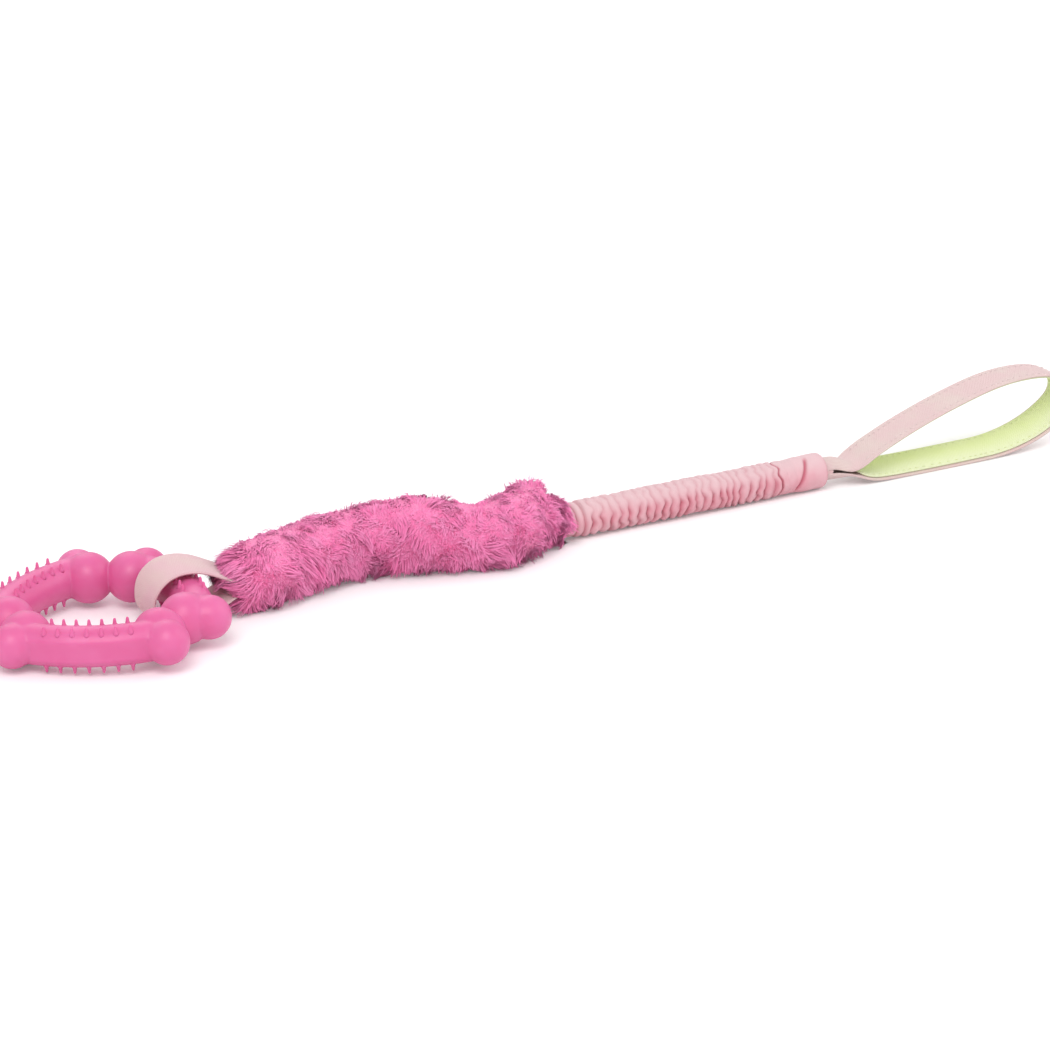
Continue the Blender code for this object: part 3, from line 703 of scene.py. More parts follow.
def moulded_point(outward, rise, near, shaft):
    """Surface of the moulding at an upright section, on a line that leaves its middle at rise."""
    start = outward * BONE_REACH
    ahead = outward * math.cos(rise) + UP * math.sin(rise)
    reach = 0.0
    if shaft:
        reach = way_out(start, ahead, outward * shaft, SHAFT_RADIUS)
        if math.cos(rise) > 0:
            side = (shaft + SHAFT_SIDE - BONE_REACH) / math.cos(rise)
            reach = -softened(-reach, -side, PANEL_SOFTNESS)
    for centre, radius in near:
        reach = softened(reach, way_out(start, ahead, centre, radius), CREASE_SOFTNESS)
    return start + ahead * reach


def ring_moulding(rubber):
    """The three bones as one body: a ring of circles pushed out to the shafts and the lobes."""
    bm = bmesh.new()
    bmesh.ops.create_circle(bm, segments=RING_SIDES, radius=1.0)
    bmesh.ops.rotate(bm, verts=bm.verts, cent=(0, 0, 0), matrix=Matrix.Rotation(math.pi / 2, 3, "X"))
    bmesh.ops.translate(bm, verts=bm.verts, vec=(BONE_COUNT, 0, 0))
    bmesh.ops.spin(bm, geom=bm.verts[:] + bm.edges[:], cent=(0, 0, 0), axis=(0, 0, 1),
                   angle=math.tau, steps=RING_STEPS, use_merge=True, use_duplicate=False)
    balls = lobes()
    for vert in bm.verts:
        turn = math.atan2(vert.co.y, vert.co.x)
        outward = Vector((math.cos(turn), math.sin(turn), 0))
        near = [ball for ball in balls if ball[0].dot(outward) > 0]
        rise = math.atan2(vert.co.z, vert.co.dot(outward) - BONE_COUNT)
        vert.co = moulded_point(outward, rise, near, shaft_reach(turn))
    bmesh.ops.recalc_face_normals(bm, faces=bm.faces)
    bmesh.ops.transform(bm, matrix=ring_matrix(), verts=bm.verts)
    made = piece("ring_moulding", bm, rubber, "ring_rubber")
    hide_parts("chew_ring")
    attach(made, "ring")


def nub_shape():
    """One nub: a turned profile with a fillet at its foot and a round tip."""
    seat = math.sqrt(SHAFT_RADIUS ** 2 - NUB_ROW_OFFSET ** 2)
    tip = SHAFT_RADIUS + NUB_RISE
    profile = (
        (NUB_BASE_RADIUS + NUB_FILLET * 2, seat - NUB_ROOT),
        (NUB_BASE_RADIUS + NUB_FILLET, seat),
        (NUB_BASE_RADIUS, seat + NUB_FILLET),
        (NUB_TIP_RADIUS * 1.15, tip - NUB_TIP_RADIUS),
        (NUB_TIP_RADIUS * 0.75, tip - NUB_TIP_RADIUS * 0.25),
        (NUB_TIP_RADIUS * 0.30, tip),
    )
    bm = bmesh.new()
    corners = [bm.verts.new((radius, 0, height)) for radius, height in profile]
    edges = [bm.edges.new(pair) for pair in zip(corners, corners[1:])]
    bmesh.ops.spin(bm, geom=corners + edges, cent=(0, 0, 0), axis=(0, 0, 1),
                   angle=math.tau, steps=NUB_STEPS, use_merge=True, use_duplicate=False)
    bmesh.ops.holes_fill(bm, edges=bm.edges, sides=NUB_STEPS)
    bmesh.ops.recalc_face_normals(bm, faces=bm.faces)
    return shape_arrays(bm)


def ring_nubs(rubber):
    """Two rows of nubs on the top and the bottom of each shaft."""
    places = []
    for bone in range(BONE_COUNT):
        turned_bone = ring_matrix() @ Matrix.Rotation(math.tau * bone / BONE_COUNT, 4, "Z")
        for index in range(NUBS_PER_ROW):
            along = (index - (NUBS_PER_ROW - 1) / 2) * NUB_PITCH
            for row in (-NUB_ROW_OFFSET, NUB_ROW_OFFSET):
                seat = Matrix.Translation(bone_point(along, row))
                for flip in (0, math.pi):
                    places.append(turned_bone @ seat @ Matrix.Rotation(flip, 4, "X"))
    made = copies("ring_nubs", nub_shape(), places, rubber, "ring_rubber")
    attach(made, "ring")


# Webbing

def smooth_line(knots, steps=SMOOTH_STEPS):
    """A smooth line through 2D knots, with so many steps between two of them."""
    knots = [Vector(knot) for knot in knots]
    knots = [2 * knots[0] - knots[1], *knots, 2 * knots[-1] - knots[-2]]
    points = []
    for before, here, after, beyond in zip(knots, knots[1:], knots[2:], knots[3:]):
        slope_in = (after - before) / 2
        slope_out = (beyond - here) / 2
        for step in range(steps):
            share = step / steps
            points.append(
                here * (2 * share ** 3 - 3 * share ** 2 + 1)
                + slope_in * (share ** 3 - 2 * share ** 2 + share)
                + after * (3 * share ** 2 - 2 * share ** 3)
                + slope_out * (share ** 3 - share ** 2))
    points.append(knots[-2])
    return points


def lengths_along(path):
    """Distance from the start of a line to each of its points."""
    lengths = [0.0]
    for near, far in zip(path, path[1:]):
        lengths.append(lengths[-1] + (far - near).length)
    return lengths


def tape_outline(run, flat, edge):
    """Across and rise at a distance round the section of a flat tape with half-round edges."""
    half_girth = 2 * flat + math.pi * edge
    lower, run = divmod(run % (2 * half_girth), half_girth)
    sign = -1 if lower else 1
    if run < 2 * flat:
        return sign * (flat - run), sign * edge
    turn = (run - 2 * flat) / edge
    return -sign * (flat + edge * math.sin(turn)), sign * edge * math.cos(turn)


def ribbon(name, path, wide, thickness, material, slot, curls=None):
    """A tape: path is its middle, wide its sideways half widths as vectors.

    Where it has a curl, the angle from its crown to an edge, the tape bends across its width, away
    from its outer face, and its edges are tucked in a little."""
    lengths = lengths_along(path)
    last = len(path) - 1
    edge = thickness / 2

    def place(along, round_share):
        index = round(along * last)
        ahead = (path[min(index + 1, last)] - path[max(index - 1, 0)]).normalized()
        side = wide[index].normalized()
        deep = side.cross(ahead).normalized()
        flat = wide[index].length - edge
        across, rise = tape_outline(round_share * (4 * flat + math.tau * edge), flat, edge)
        curl = curls[index] if curls else 0.0
        if curl > MIN_CURL:
            radius = wide[index].length / curl
            turn = across / radius
            across = (radius + rise) * math.sin(turn)
            rise = (radius + rise) * math.cos(turn) - radius * math.cos(curl)
            rise -= CURL_TUCK * min(2 * curl / NECK_CURL, 1.0)
        return path[index] + side * across + deep * rise

    girth = 4 * max(side.length for side in wide)
    bm = laid_grid(last, TAPE_SIDES, place, (lengths[-1], girth))
    close_ends(bm)
    return piece(name, bm, material, slot)


def close_ends(bm):
    """Cap the open ends of a tape."""
    open_edges = [edge for edge in bm.edges if edge.is_boundary]
    bmesh.ops.holes_fill(bm, edges=open_edges, sides=0)
    bmesh.ops.recalc_face_normals(bm, faces=bm.faces)


def ring_strap(webbing):
    """Webbing round the ring's shaft, slack on the inner side, running on into the sleeve."""
    path = []
    wide = []
    for point in smooth_line(STRAP_PLACES, STRAP_SMOOTH_STEPS):
        rumple = STRAP_RUMPLE * wobble((point.x, 0, point.y), 90.0, 3.0)
        path.append(EYE + Vector((point.x - abs(rumple) * (point.x < 0), 0, point.y)))
        raised_edge = STRAP_TWIST * float(ease(point.y / STRAP_TWIST_RISE))
        wide.append(Vector((0, WEBBING_WIDTH / 2, raised_edge)))
    made = ribbon("ring_strap_webbing", path, wide, WEBBING_THICKNESS, webbing, "pale_webbing")
    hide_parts("ring_strap")
    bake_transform(made)


# Plush sleeve

def sleeve_radius(along):
    """Outer radius of the sleeve, pile included."""
    front = ease(along / MOUTH_TAPER)
    rear = ease((SLEEVE_LENGTH - along) / REAR_TAPER)
    swell = sum(full * np.exp(-((along - where) / reach) ** 2)
                for where, reach, full in SLEEVE_SWELLS)
    middle = SLEEVE_RADIUS + swell * front * rear
    opened = MOUTH_RADIUS + (middle - MOUTH_RADIUS) * front
    return REAR_RADIUS + (opened - REAR_RADIUS) * rear


def sleeve_bore(along):
    """Radius of the sleeve's bore."""
    rear = ease((SLEEVE_LENGTH - along) / REAR_TAPER)
    return REAR_BORE + (MOUTH_BORE - REAR_BORE) * rear


def sleeve_centre(along):
    """Middle of the sleeve's section at a distance along it."""
    share = np.clip(along / (SLEEVE_LENGTH - REAR_STRAIGHT), 0.0, 1.0)
    level_ends = ease(share / SWAY_EASE_SHARE) * ease((1 - share) / SWAY_EASE_SHARE)
    side = SLEEVE_SWAY * np.sin(math.tau * share ** SWAY_SKEW_SHARE) * level_ends
    side = side + BUNGEE_SIDE_OFFSET * ease(share)
    return np.stack([MOUTH.x + along, MOUTH.y + side, sleeve_radius(along) - FLAT_CUT], axis=-1)


def unit(vectors):
    """Vectors scaled to length 1."""
    return vectors / np.linalg.norm(vectors, axis=-1, keepdims=True)


def sleeve_axes(along):
    """Forward and sideways directions of the sleeve's upright sections."""
    ahead = sleeve_centre(along + CLEARANCE) - sleeve_centre(along - CLEARANCE)
    ahead = unit(ahead * np.array((1.0, 1.0, 0.0)))
    return ahead, np.cross(np.array((0.0, 0.0, 1.0)), ahead)


def on_sleeve(along, turn, radius):
    """Point at a turn from the underside, and the outward and forward directions there."""
    ahead, side = sleeve_axes(along)
    up = np.array((0.0, 0.0, 1.0))
    outward = side * np.sin(turn)[..., None] - up * np.cos(turn)[..., None]
    return sleeve_centre(along) + outward * np.asarray(radius)[..., None], outward, ahead


def sleeve_backing(knit):
    """Knitted tube that carries the pile, turned in at its mouth to a slot round the strap."""
    slot_share = MOUTH_SLOT / MOUTH_BORE

    def on_face(along, turn, outside):
        bore = sleeve_bore(along)
        skin = max(sleeve_radius(along) - PILE_DEPTH * BACKING_SHARE, bore + CLEARANCE)
        point = Vector(on_sleeve(np.array(along), np.array(turn), skin if outside else bore)[0])
        if not outside:
            middle = float(sleeve_centre(along)[2])
            open_share = slot_share + (1 - slot_share) * float(ease(along / MOUTH_TAPER))
            point.z = middle + (point.z - middle) * open_share
        return point

    def place(along_share, round_share):
        turn = math.tau * round_share
        if along_share < LIP_SHARE:
            point = on_face(0.0, turn, False).lerp(on_face(0.0, turn, True), along_share / LIP_SHARE)
        else:
            run = 2 * (along_share - LIP_SHARE) / (1 - LIP_SHARE)
            point = on_face(SLEEVE_LENGTH * (run if run < 1 else 2 - run), turn, run < 1)
        point.z = max(point.z, CLEARANCE)
        return point

    bm = laid_grid(BACKING_STEPS, BACKING_SIDES, place, (SLEEVE_LENGTH * 2, math.tau * SLEEVE_RADIUS))
    made = piece("sleeve_backing", bm, knit, "pink_plush")
    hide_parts("fur_sleeve")
    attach(made, "sleeve")


def hair_shape():
    """One hair: a three-sided taper, closed at both ends, its height from 0 to 1."""
    bm = bmesh.new()
    bmesh.ops.create_cone(bm, cap_ends=True, segments=3, radius1=1.0,
                          radius2=1 - HAIR_TAPER, depth=1.0)
    geometry = bm.verts[:] + bm.edges[:] + bm.faces[:]
    bmesh.ops.bisect_plane(bm, geom=geometry, plane_co=(0, 0, 0.05), plane_no=(0, 0, 1))
    for vert in bm.verts:
        vert.co.z += 0.5
        spread = math.hypot(vert.co.x, vert.co.y)
        fuller = (1 - vert.co.z ** 3 * HAIR_TAPER) / spread
        vert.co.x *= fuller
        vert.co.y *= fuller
    return shape_arrays(bm)


def pile_roots(pick):
    """Where the hairs grow: along and round the sleeve, and how far out on its two rims."""
    along = pick.uniform(0.0, SLEEVE_LENGTH, HAIR_COUNT)
    rims = np.repeat((0.0, SLEEVE_LENGTH), RIM_HAIR_COUNT)
    turn = pick.uniform(0.0, math.tau, HAIR_COUNT + len(rims))
    outwards = np.concatenate([np.ones(HAIR_COUNT), pick.uniform(*RIM_SPREAD, len(rims))])
    return np.concatenate([along, rims]), turn, outwards


def grown(along, turn, outwards):
    """Root, surface normal, forward and sideways directions of hairs or locks."""
    radius = np.maximum(sleeve_radius(along) - PILE_DEPTH, sleeve_bore(along) + CLEARANCE)
    root, outward, ahead = on_sleeve(along, turn, radius * outwards)
    slope = (sleeve_radius(along + CLEARANCE) - sleeve_radius(along - CLEARANCE)) / (2 * CLEARANCE)
    return root, unit(outward - ahead * slope[:, None]), ahead, np.cross(ahead, outward)


def wander(points, pick, pitch):
    """Numbers that vary smoothly from place to place, about 0 and mostly between -1 and 1."""
    ways = pick.normal(0, math.tau / pitch / WAVE_STRETCH, (3, WAVE_COUNT))
    waves = np.sin(points @ ways + pick.uniform(0, math.tau, WAVE_COUNT))
    return waves.sum(axis=1) / math.sqrt(WAVE_COUNT)


def pile_locks(root, pick):
    """Root of every lock, and the lock that each hair belongs to."""
    lock_root = grown(pick.uniform(0.0, SLEEVE_LENGTH, LOCK_COUNT),
                      pick.uniform(0.0, math.tau, LOCK_COUNT), np.ones(LOCK_COUNT))[0]
    tree = kdtree.KDTree(LOCK_COUNT)
    for index, point in enumerate(lock_root):
        tree.insert(point, index)
    tree.balance()
    frayed = root + pick.normal(0, PILE_DEPTH * LOCK_FRAY_SHARE, root.shape)
    return lock_root, np.array([tree.find(point)[1] for point in frayed])


def rooted_pile(pick):
    """Roots of the hairs, the directions and the lock there, and how near the sleeve's ends they are."""
    along, turn, outwards = pile_roots(pick)
    root, normal, ahead, across = grown(along, turn, outwards)
    lock_root, lock = pile_locks(root, pick)
    on_rim = np.arange(len(root)) >= HAIR_COUNT
    return SimpleNamespace(
        root=root, normal=normal, ahead=ahead, across=across, lock=lock, lock_root=lock_root[lock],
        upper=(1 - np.cos(turn)) / 2, on_rim=on_rim, on_mouth_rim=on_rim & (along == 0),
        mouth_sweep=1 - ease(along / MOUTH_SWEEP),
        rear_sweep=1 - ease((SLEEVE_LENGTH - along) / REAR_SWEEP))


def pile_lean(pile, pick):
    """How far each hair lies over, as a share of its length."""
    lock_lean = pick.normal(0, LOCK_LEAN_SHARE, (LOCK_COUNT, 3))
    forwards = wander(pile.root, pick, LIE_PITCH) * PILE_LEAN_SHARE
    sideways = wander(pile.root, pick, LIE_PITCH) * PILE_LEAN_SHARE
    combed = MOUTH_LOW_SHARE - MOUTH_TOP_SHARE * np.minimum(pile.upper * MOUTH_TOP_REACH, 1)
    forwards = (forwards * (1 - MOUTH_CALM_SHARE * pile.mouth_sweep)
                - REAR_LEAN_SHARE * pile.rear_sweep + pile.mouth_sweep * combed)
    lean = pile.ahead * forwards[:, None] + pile.across * sideways[:, None] + lock_lean[pile.lock]
    tucked = pile.on_rim * pile.mouth_sweep * pick.uniform(*RIM_TUCK_SPREAD, len(pile.root))
    return lean - pile.normal * tucked[:, None] - np.array((0.0, 0.0, PILE_DROOP_SHARE))


def hair_lines(pile, lean, pick):
    """The bend and the tip of each hair."""
    count = len(pile.root)
    full = np.clip(1 + TUFT_SHARE * wander(pile.root, pick, TUFT_PITCH), *TUFT_LIMITS)
    length = HAIR_LENGTH * full * np.where(pile.on_mouth_rim, RIM_LENGTH_SHARE, 1.0)
    length *= pick.uniform(*LENGTH_SPREAD, count)
    rise = PILE_DEPTH * full * pick.uniform(*RISE_SPREAD, count)
    rise *= np.where(pick.random(count) < STRAY_SHARE, STRAY_RISE, 1.0)
    rise += REAR_FULLNESS * pile.rear_sweep * pile.upper * pick.uniform(*REAR_SPREAD, count)
    risen = pile.normal * rise[:, None]
    laid = lean * length[:, None]
    tip = pile.root + risen + laid
    lock_tip = pile.lock_root + risen + laid
    tip += (lock_tip - tip) * LOCK_PULL_SHARE * pick.uniform(*PULL_SPREAD, count)[:, None]
    tip += pick.normal(0, HAIR_LENGTH * TIP_SCATTER_SHARE, tip.shape)
    return pile.root + risen * BEND_RISE_SHARE + laid * BEND_LEAN_SHARE, tip


def hair_skins(pile, lean, points, pick):
    """Points of every hair's skin, and the direction that each is lit from."""
    bend, tip = hair_lines(pile, lean, pick)
    run = tip - pile.root
    height = points[:, 2][None, :, None]
    line = (pile.root[:, None] * (1 - height) ** 2 + bend[:, None] * 2 * height * (1 - height)
            + tip[:, None] * height ** 2)
    side = unit(np.cross(run, pile.normal + NORMAL_NUDGE * pile.ahead))
    front = unit(np.cross(run, side))
    front *= -np.sign((front * pile.normal).sum(axis=1, keepdims=True))
    spin = pick.normal(0, HAIR_SPIN, len(run))[:, None]
    side, front = (side * np.cos(spin) + front * np.sin(spin),
                   front * np.cos(spin) - side * np.sin(spin))
    thick = HAIR_RADIUS * pick.uniform(*THICKNESS_SPREAD, len(run))[:, None, None]
    bulge = side[:, None] * points[None, :, :1] + front[:, None] * points[None, :, 1:2] * HAIR_FLATNESS
    skin = line + thick * bulge
    floor = CLEARANCE * (0.5 + pick.random((len(run), 1)))
    skin[:, :, 2] = np.maximum(skin[:, :, 2], floor)
    return skin, unit(unit(bulge) * (1 - SURFACE_SHARE) + pile.normal[:, None] * SURFACE_SHARE)


def hair_shades(pile, points, pick):
    """For the colour: red is the height along the hair, for painted shade at its root; green is painted
    light and shade in patches, with each lock's own tone; blue is the hair's own tone.
    """
    shade = np.ones((len(pile.root), len(points), 4))
    shade[:, :, 0] = points[:, 2]
    # Painted light and shade in soft patches, plus each lock's own tone
    painted_patches = (0.5 + PAINTED_PATCH_SHARE * wander(pile.root, pick, PAINTED_PATCH_PITCH)
            + LOCK_FAIR_SHARE * pick.standard_normal(LOCK_COUNT)[pile.lock])
    shade[:, :, 1] = np.clip(painted_patches, 0, 1)[:, None]
    shade[:, :, 2] = pick.random(len(pile.root))[:, None]
    return shade


def plush_pile(hair):
    """Deep pile: each hair rises from the backing and lies over with the hairs round it."""
    pick = np.random.default_rng(PILE_SEED)
    pile = rooted_pile(pick)
    points, faces = hair_shape()
    skin, lit = hair_skins(pile, pile_lean(pile, pick), points, pick)
    shade = hair_shades(pile, points, pick)
    order = pick.permutation(len(skin))
    for number, start in enumerate(range(0, len(order), HAIRS_PER_PIECE)):
        chosen = order[start:start + HAIRS_PER_PIECE]
        name = f"plush_pile_{number + 1}"
        data = copied_mesh(name, skin[chosen].reshape(-1, 3), faces, len(chosen))
        colours = data.attributes.new("Pile", "FLOAT_COLOR", "POINT")
        colours.data.foreach_set("color", shade[chosen].reshape(-1))
        made = link_mesh(name, data, hair, "pink_plush")
        data.normals_split_custom_set_from_vertices(lit[chosen].reshape(-1, 3))
        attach(made, "sleeve")


# Bungee

def gathers():
    """Left edge, width, crest and valley of each gather, counted as the source counts them."""
    pick = random.Random(GATHER_SEED)
    widths = [1 + GATHER_WIDTH_SHARE * pick.uniform(-1, 1) for _ in range(GATHER_COUNT)]
    pitch = BUNGEE_LENGTH / sum(widths)
    outer = BUNGEE_BORE + GATHER_WALL + GATHER_DEPTH
    left = 0.0
    made = []
    for width in widths:
        crest = outer - GATHER_DEPTH * GATHER_CREST_SHARE * pick.random()
        valley = BUNGEE_BORE + GATHER_WALL + GATHER_DEPTH * GATHER_DEPTH_SHARE * pick.random()
        made.append((left, width * pitch, crest, valley))
        left += width * pitch
    return made


def fold_at(folds, along):
    """Crest, valley and the share across the gather at a place along the cloth."""
    for left, width, crest, valley in folds:
        if along < left + width:
            return crest, valley, (along - left) / width
    return folds[-1][2], folds[-1][3], 1.0


def cloth_noise(along, turn, scale, round_scale, shift):
    """Smooth noise over the bungee's cloth, without a seam round it."""
    around = (math.cos(turn) * round_scale, math.sin(turn) * round_scale)
    return noise.noise(Vector((along * scale + shift, *around)))


def cloth_tube(name, start, end, radius_at, cloth, steps=40, sides=64, wall=CLOTH_WALL, fullness=1):
    """A tube of the bungee's cloth; radius_at gives its radius and its painted light and shade, 1 where
    unshaded.

    Its fullness is the length of the flat cloth over the length of the tube."""
    def place(along_share, round_share):
        turn = math.tau * round_share
        radius = radius_at(along_share, turn)[0]
        height = max(NECK.z - radius * math.cos(turn), CLEARANCE)
        return Vector((start + (end - start) * along_share, NECK.y + radius * math.sin(turn), height))

    bm = laid_grid(steps, sides, place, ((end - start) * fullness, math.tau * COLLAR_RADIUS))
    made = piece(name, bm, cloth, "salmon_cloth")
    # Painted light and shade of the cloth, as radius_at gives it
    painted_lights = made.data.attributes.new("PaintedLight", "FLOAT", "POINT")
    for vert, painted_light in zip(made.data.vertices, painted_lights.data):
        turn = math.atan2(vert.co.y - NECK.y, NECK.z - vert.co.z) % math.tau
        painted_light.value = radius_at((vert.co.x - start) / (end - start), turn)[1]
    return thicken(made, wall)


def ruched_cloth(cloth):
    """Cloth gathered over the elastic: wandering folds, sharp below and shallow on top."""
    folds = gathers()
    front = NECK.x + COLLAR_LENGTH + CLEARANCE
    smooth_from = BUNGEE_LENGTH - SMOOTH_END
    held = COLLAR_RADIUS - COLLAR_FOLD + CLEARANCE

    def radius_at(along_share, turn):
        along = along_share * BUNGEE_LENGTH
        ends = float(ease(along_share / FOLD_EASE_SHARE) * ease((1 - along_share) / FOLD_EASE_SHARE))
        moved = along + FOLD_WANDER * ends * cloth_noise(along, turn, *WANDER_NOISE)
        moved += GATHER_LEAN * ends * math.cos(turn - GATHER_TURN * GATHER_COUNT * along_share)
        crest, valley, across = fold_at(folds, min(max(moved, 0.0), BUNGEE_LENGTH))
        full = math.sin(math.pi * min(max(across, 0.0), 1.0)) ** FOLD_ROUNDING
        on_top = float(ease((-math.cos(turn) - TOP_START) / TOP_EASE))
        patchy = 0.75 + 0.5 * cloth_noise(along, turn, *PATCHY_NOISE)
        depth = (1 - (1 - TOP_FOLD_SHARE) * on_top) * min(max(patchy, LEAST_FOLD_SHARE), 1.0)
        crest += GATHER_REACH
        if moved > smooth_from:
            crest, depth = CUFF_RADIUS - GATHER_REACH, 0.0
        sunk = (crest - valley + VALLEY_DEPTH) * (1 - full) * depth
        swell = FOLD_SWELL * cloth_noise(along, turn, *SWELL_NOISE)
        crimp = FOLD_CRIMP * cloth_noise(along, turn, *CRIMP_NOISE)
        radius = held + (crest - sunk + (swell + crimp) * ends - held) * float(ease(along / FRONT_EDGE))
        # Painted shade: darker in the valleys, less so on top, and darker still at the last fold's brink
        brink = math.exp(-((moved - smooth_from + LAST_FOLD) / LAST_FOLD) ** 2)
        return radius - VALLEY_DEPTH * brink, (1 - (1 - full) * depth) * (1 - BRINK_SHADE * brink)

    made = cloth_tube("ruched_cloth", front, front + BUNGEE_LENGTH, radius_at, cloth,
                      GATHER_COUNT * STEPS_PER_GATHER, GATHERED_SIDES, GATHERED_WALL, GATHERED_FULLNESS)
    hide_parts("ruched_sleeve")
    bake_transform(made)


def collar_cloth(cloth):
    """Sewn-down front end of the cloth, running back into the plush."""
    def radius_at(along_share, turn):
        edge = COLLAR_EDGE * (1 - float(ease(along_share / COLLAR_EDGE_SHARE)))
        fold_from = COLLAR_FOLD_START + COLLAR_FOLD_SLANT * math.cos(turn + COLLAR_FOLD_TURN)
        gather = (along_share - fold_from) / COLLAR_FOLD_SPAN
        # The second number is painted light: it falls to painted shade in the collar's fold
        if gather <= 0:
            return COLLAR_RADIUS - edge, 1.0
        full = math.sin(math.pi * gather) ** COLLAR_ROUNDING if gather < 1 else 0.0
        return COLLAR_RADIUS + COLLAR_ROLL * full - COLLAR_FOLD * (1 - full) - edge, full

    made = cloth_tube("collar_cloth", NECK.x, NECK.x + COLLAR_LENGTH + CLOTH_LAP, radius_at,
                      cloth, COLLAR_STEPS)
    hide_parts("front_collar")
    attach(made, "bungee_head")
    inner = cloth_tube("neck_cloth", NECK.x - NECK_TUCK, NECK.x + NECK_REACH,
                       lambda along_share, turn: (COLLAR_RADIUS - NECK_INSET, 1.0), cloth)
    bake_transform(inner)


def cuff_cloth(cloth):
    """Plain rear end of the cloth, creased once and drawn in round the handle's tail."""
    def radius_at(along_share, turn):
        lip = CUFF_LIP * max(2 * along_share - 1, 0.0) ** CUFF_SQUARENESS
        flush = GATHER_REACH * (1 - float(ease(along_share / CUFF_FLUSH_SHARE)))
        run = (math.degrees(turn) - CREASE_START_DEGREES) / CREASE_SPAN_DEGREES
        from_ends = (run + CREASE_FADE, 1 + CREASE_FADE - run)
        held = float(math.prod(ease(share / CREASE_FADE / 2) for share in from_ends))
        crease = (along_share - CREASE_PLACE + CREASE_SLANT * run) / CREASE_WIDTH
        sunk = held * math.exp(-crease ** 2)
        soft = CUFF_SOFTNESS * wobble((along_share * 3, math.cos(turn), math.sin(turn)), 1.2, 4.0)
        radius = CUFF_RADIUS - lip - flush - CREASE_DEPTH * sunk + soft
        # Painted shade where the lip turns in and along the crease
        return radius, (1 - lip / CUFF_LIP) * (1 - CREASE_SHADE * sunk)

    rear = CUFF_REAR.x - (CUFF_REAR.x - CUFF_FRONT.x) * CUFF_GAP_SHARE
    made = cloth_tube("cuff_cloth", CUFF_FRONT.x - CLEARANCE, rear, radius_at, cloth,
                      CUFF_STEPS, CUFF_SIDES)
    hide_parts("rear_cuff")
    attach(made, "bungee_tail")

    def gathered(along_share, turn):
        tail = TAPE_NECK_WIDTH / 2 / NECK_CURL + HANDLE_WEB_THICKNESS
        drawn = CUFF_RADIUS - CUFF_LIP - GATHERED_WALL
        pucker = PUCKER_DEPTH * math.sin(turn * PUCKER_COUNT) * math.sin(math.pi * along_share)
        # A fixed painted shade on the drawn-in end
        return drawn + (tail - drawn) * along_share + pucker, DRAWN_END_PAINTED_LIGHT

    end = cloth_tube("cuff_end", CUFF_REAR.x - CLOTH_LAP, CUFF_REAR.x - CLOTH_LAP / 3, gathered,
                     cloth, DRAWN_END_STEPS)
    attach(end, "bungee_tail")


# Hand loop

def loop_path():
    """Middle of the double webbing: out of the cuff, along the floor, round and back over the top."""
    layer = LAYER_SEAM + LINING_THICKNESS + LAYER_SEAM
    outer_face = LAYER_SEAM + HANDLE_WEB_THICKNESS
    floor_run = WEBBING_WIDTH / 2 * math.sin(LOOP_TILT) + outer_face * math.cos(LOOP_TILT)
    rise = HANDLE_HEIGHT - outer_face - floor_run
    neck_places = (-LOOP_TUCK, -LOOP_TUCK / 2, FLEX_REACH)
    knots = [Vector((along, -layer)) for along in neck_places]
    for along, up in LOOP_SHARES:
        height = floor_run + up * rise - LOOP_PIVOT.z
        knots.append(Vector((along * HANDLE_LENGTH - PIVOT_SETBACK, height)))
    knots += [Vector((along, layer)) for along in reversed(neck_places)]
    return smooth_line(knots)


def loop_frames():
    """Place, outward normal and sideways direction at each point of the loop."""
    path = loop_path()
    frames = []
    for index, point in enumerate(path):
        before = path[max(index - 1, 0)]
        after = path[min(index + 1, len(path) - 1)]
        ahead = (after - before).normalized()
        outward = Vector((ahead.y, 0, -ahead.x))
        flare = float(ease((point.x - NECK_CLOSED) / NECK_FLARE))
        share = index / (len(path) - 1)
        until_end = float(ease((TILT_END_SHARE - share) / TILT_EASE_SHARE))
        tilt = LOOP_TILT * float(ease(share / TILT_EASE_SHARE)) * until_end
        wide = Vector((0, math.cos(tilt), 0)) - outward * math.sin(tilt)
        normal = outward * math.cos(tilt) + Vector((0, math.sin(tilt), 0))
        centre = LOOP_PIVOT + Vector((point.x, 0, point.y))
        frames.append((centre, normal, wide, flare))
    return frames


def loop_tapes(frames, tape, lining):
    """Outer tape and lime lining, curled together at the neck."""
    layers = (
        ("handle_tape", "handle_webbing", LAYER_SEAM + HANDLE_WEB_THICKNESS / 2, HANDLE_WEB_THICKNESS,
         WEBBING_WIDTH, TAPE_NECK_WIDTH, 0.0, tape, "pale_webbing"),
        ("handle_inner_tape", "handle_lining", -LAYER_SEAM - LINING_THICKNESS / 2, LINING_THICKNESS,
         LINING_WIDTH, LINING_NECK_WIDTH, LINING_START_SHARE, lining, "lime_lining"),
    )
    curls = [NECK_CURL * (1 - flare) for _, _, _, flare in frames]
    for name, replaced, inset, thickness, width, narrow, start, material, slot in layers:
        path = [centre + normal * inset for centre, normal, _, _ in frames]
        opened = [max(flare - start, 0.0) / (1 - start) for _, _, _, flare in frames]
        halves = [wide * (narrow + (width - narrow) * share) / 2
                  for (_, _, wide, _), share in zip(frames, opened)]
        made = ribbon(name, path, halves, thickness, material, slot, curls)
        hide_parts(replaced)
        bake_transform(made)


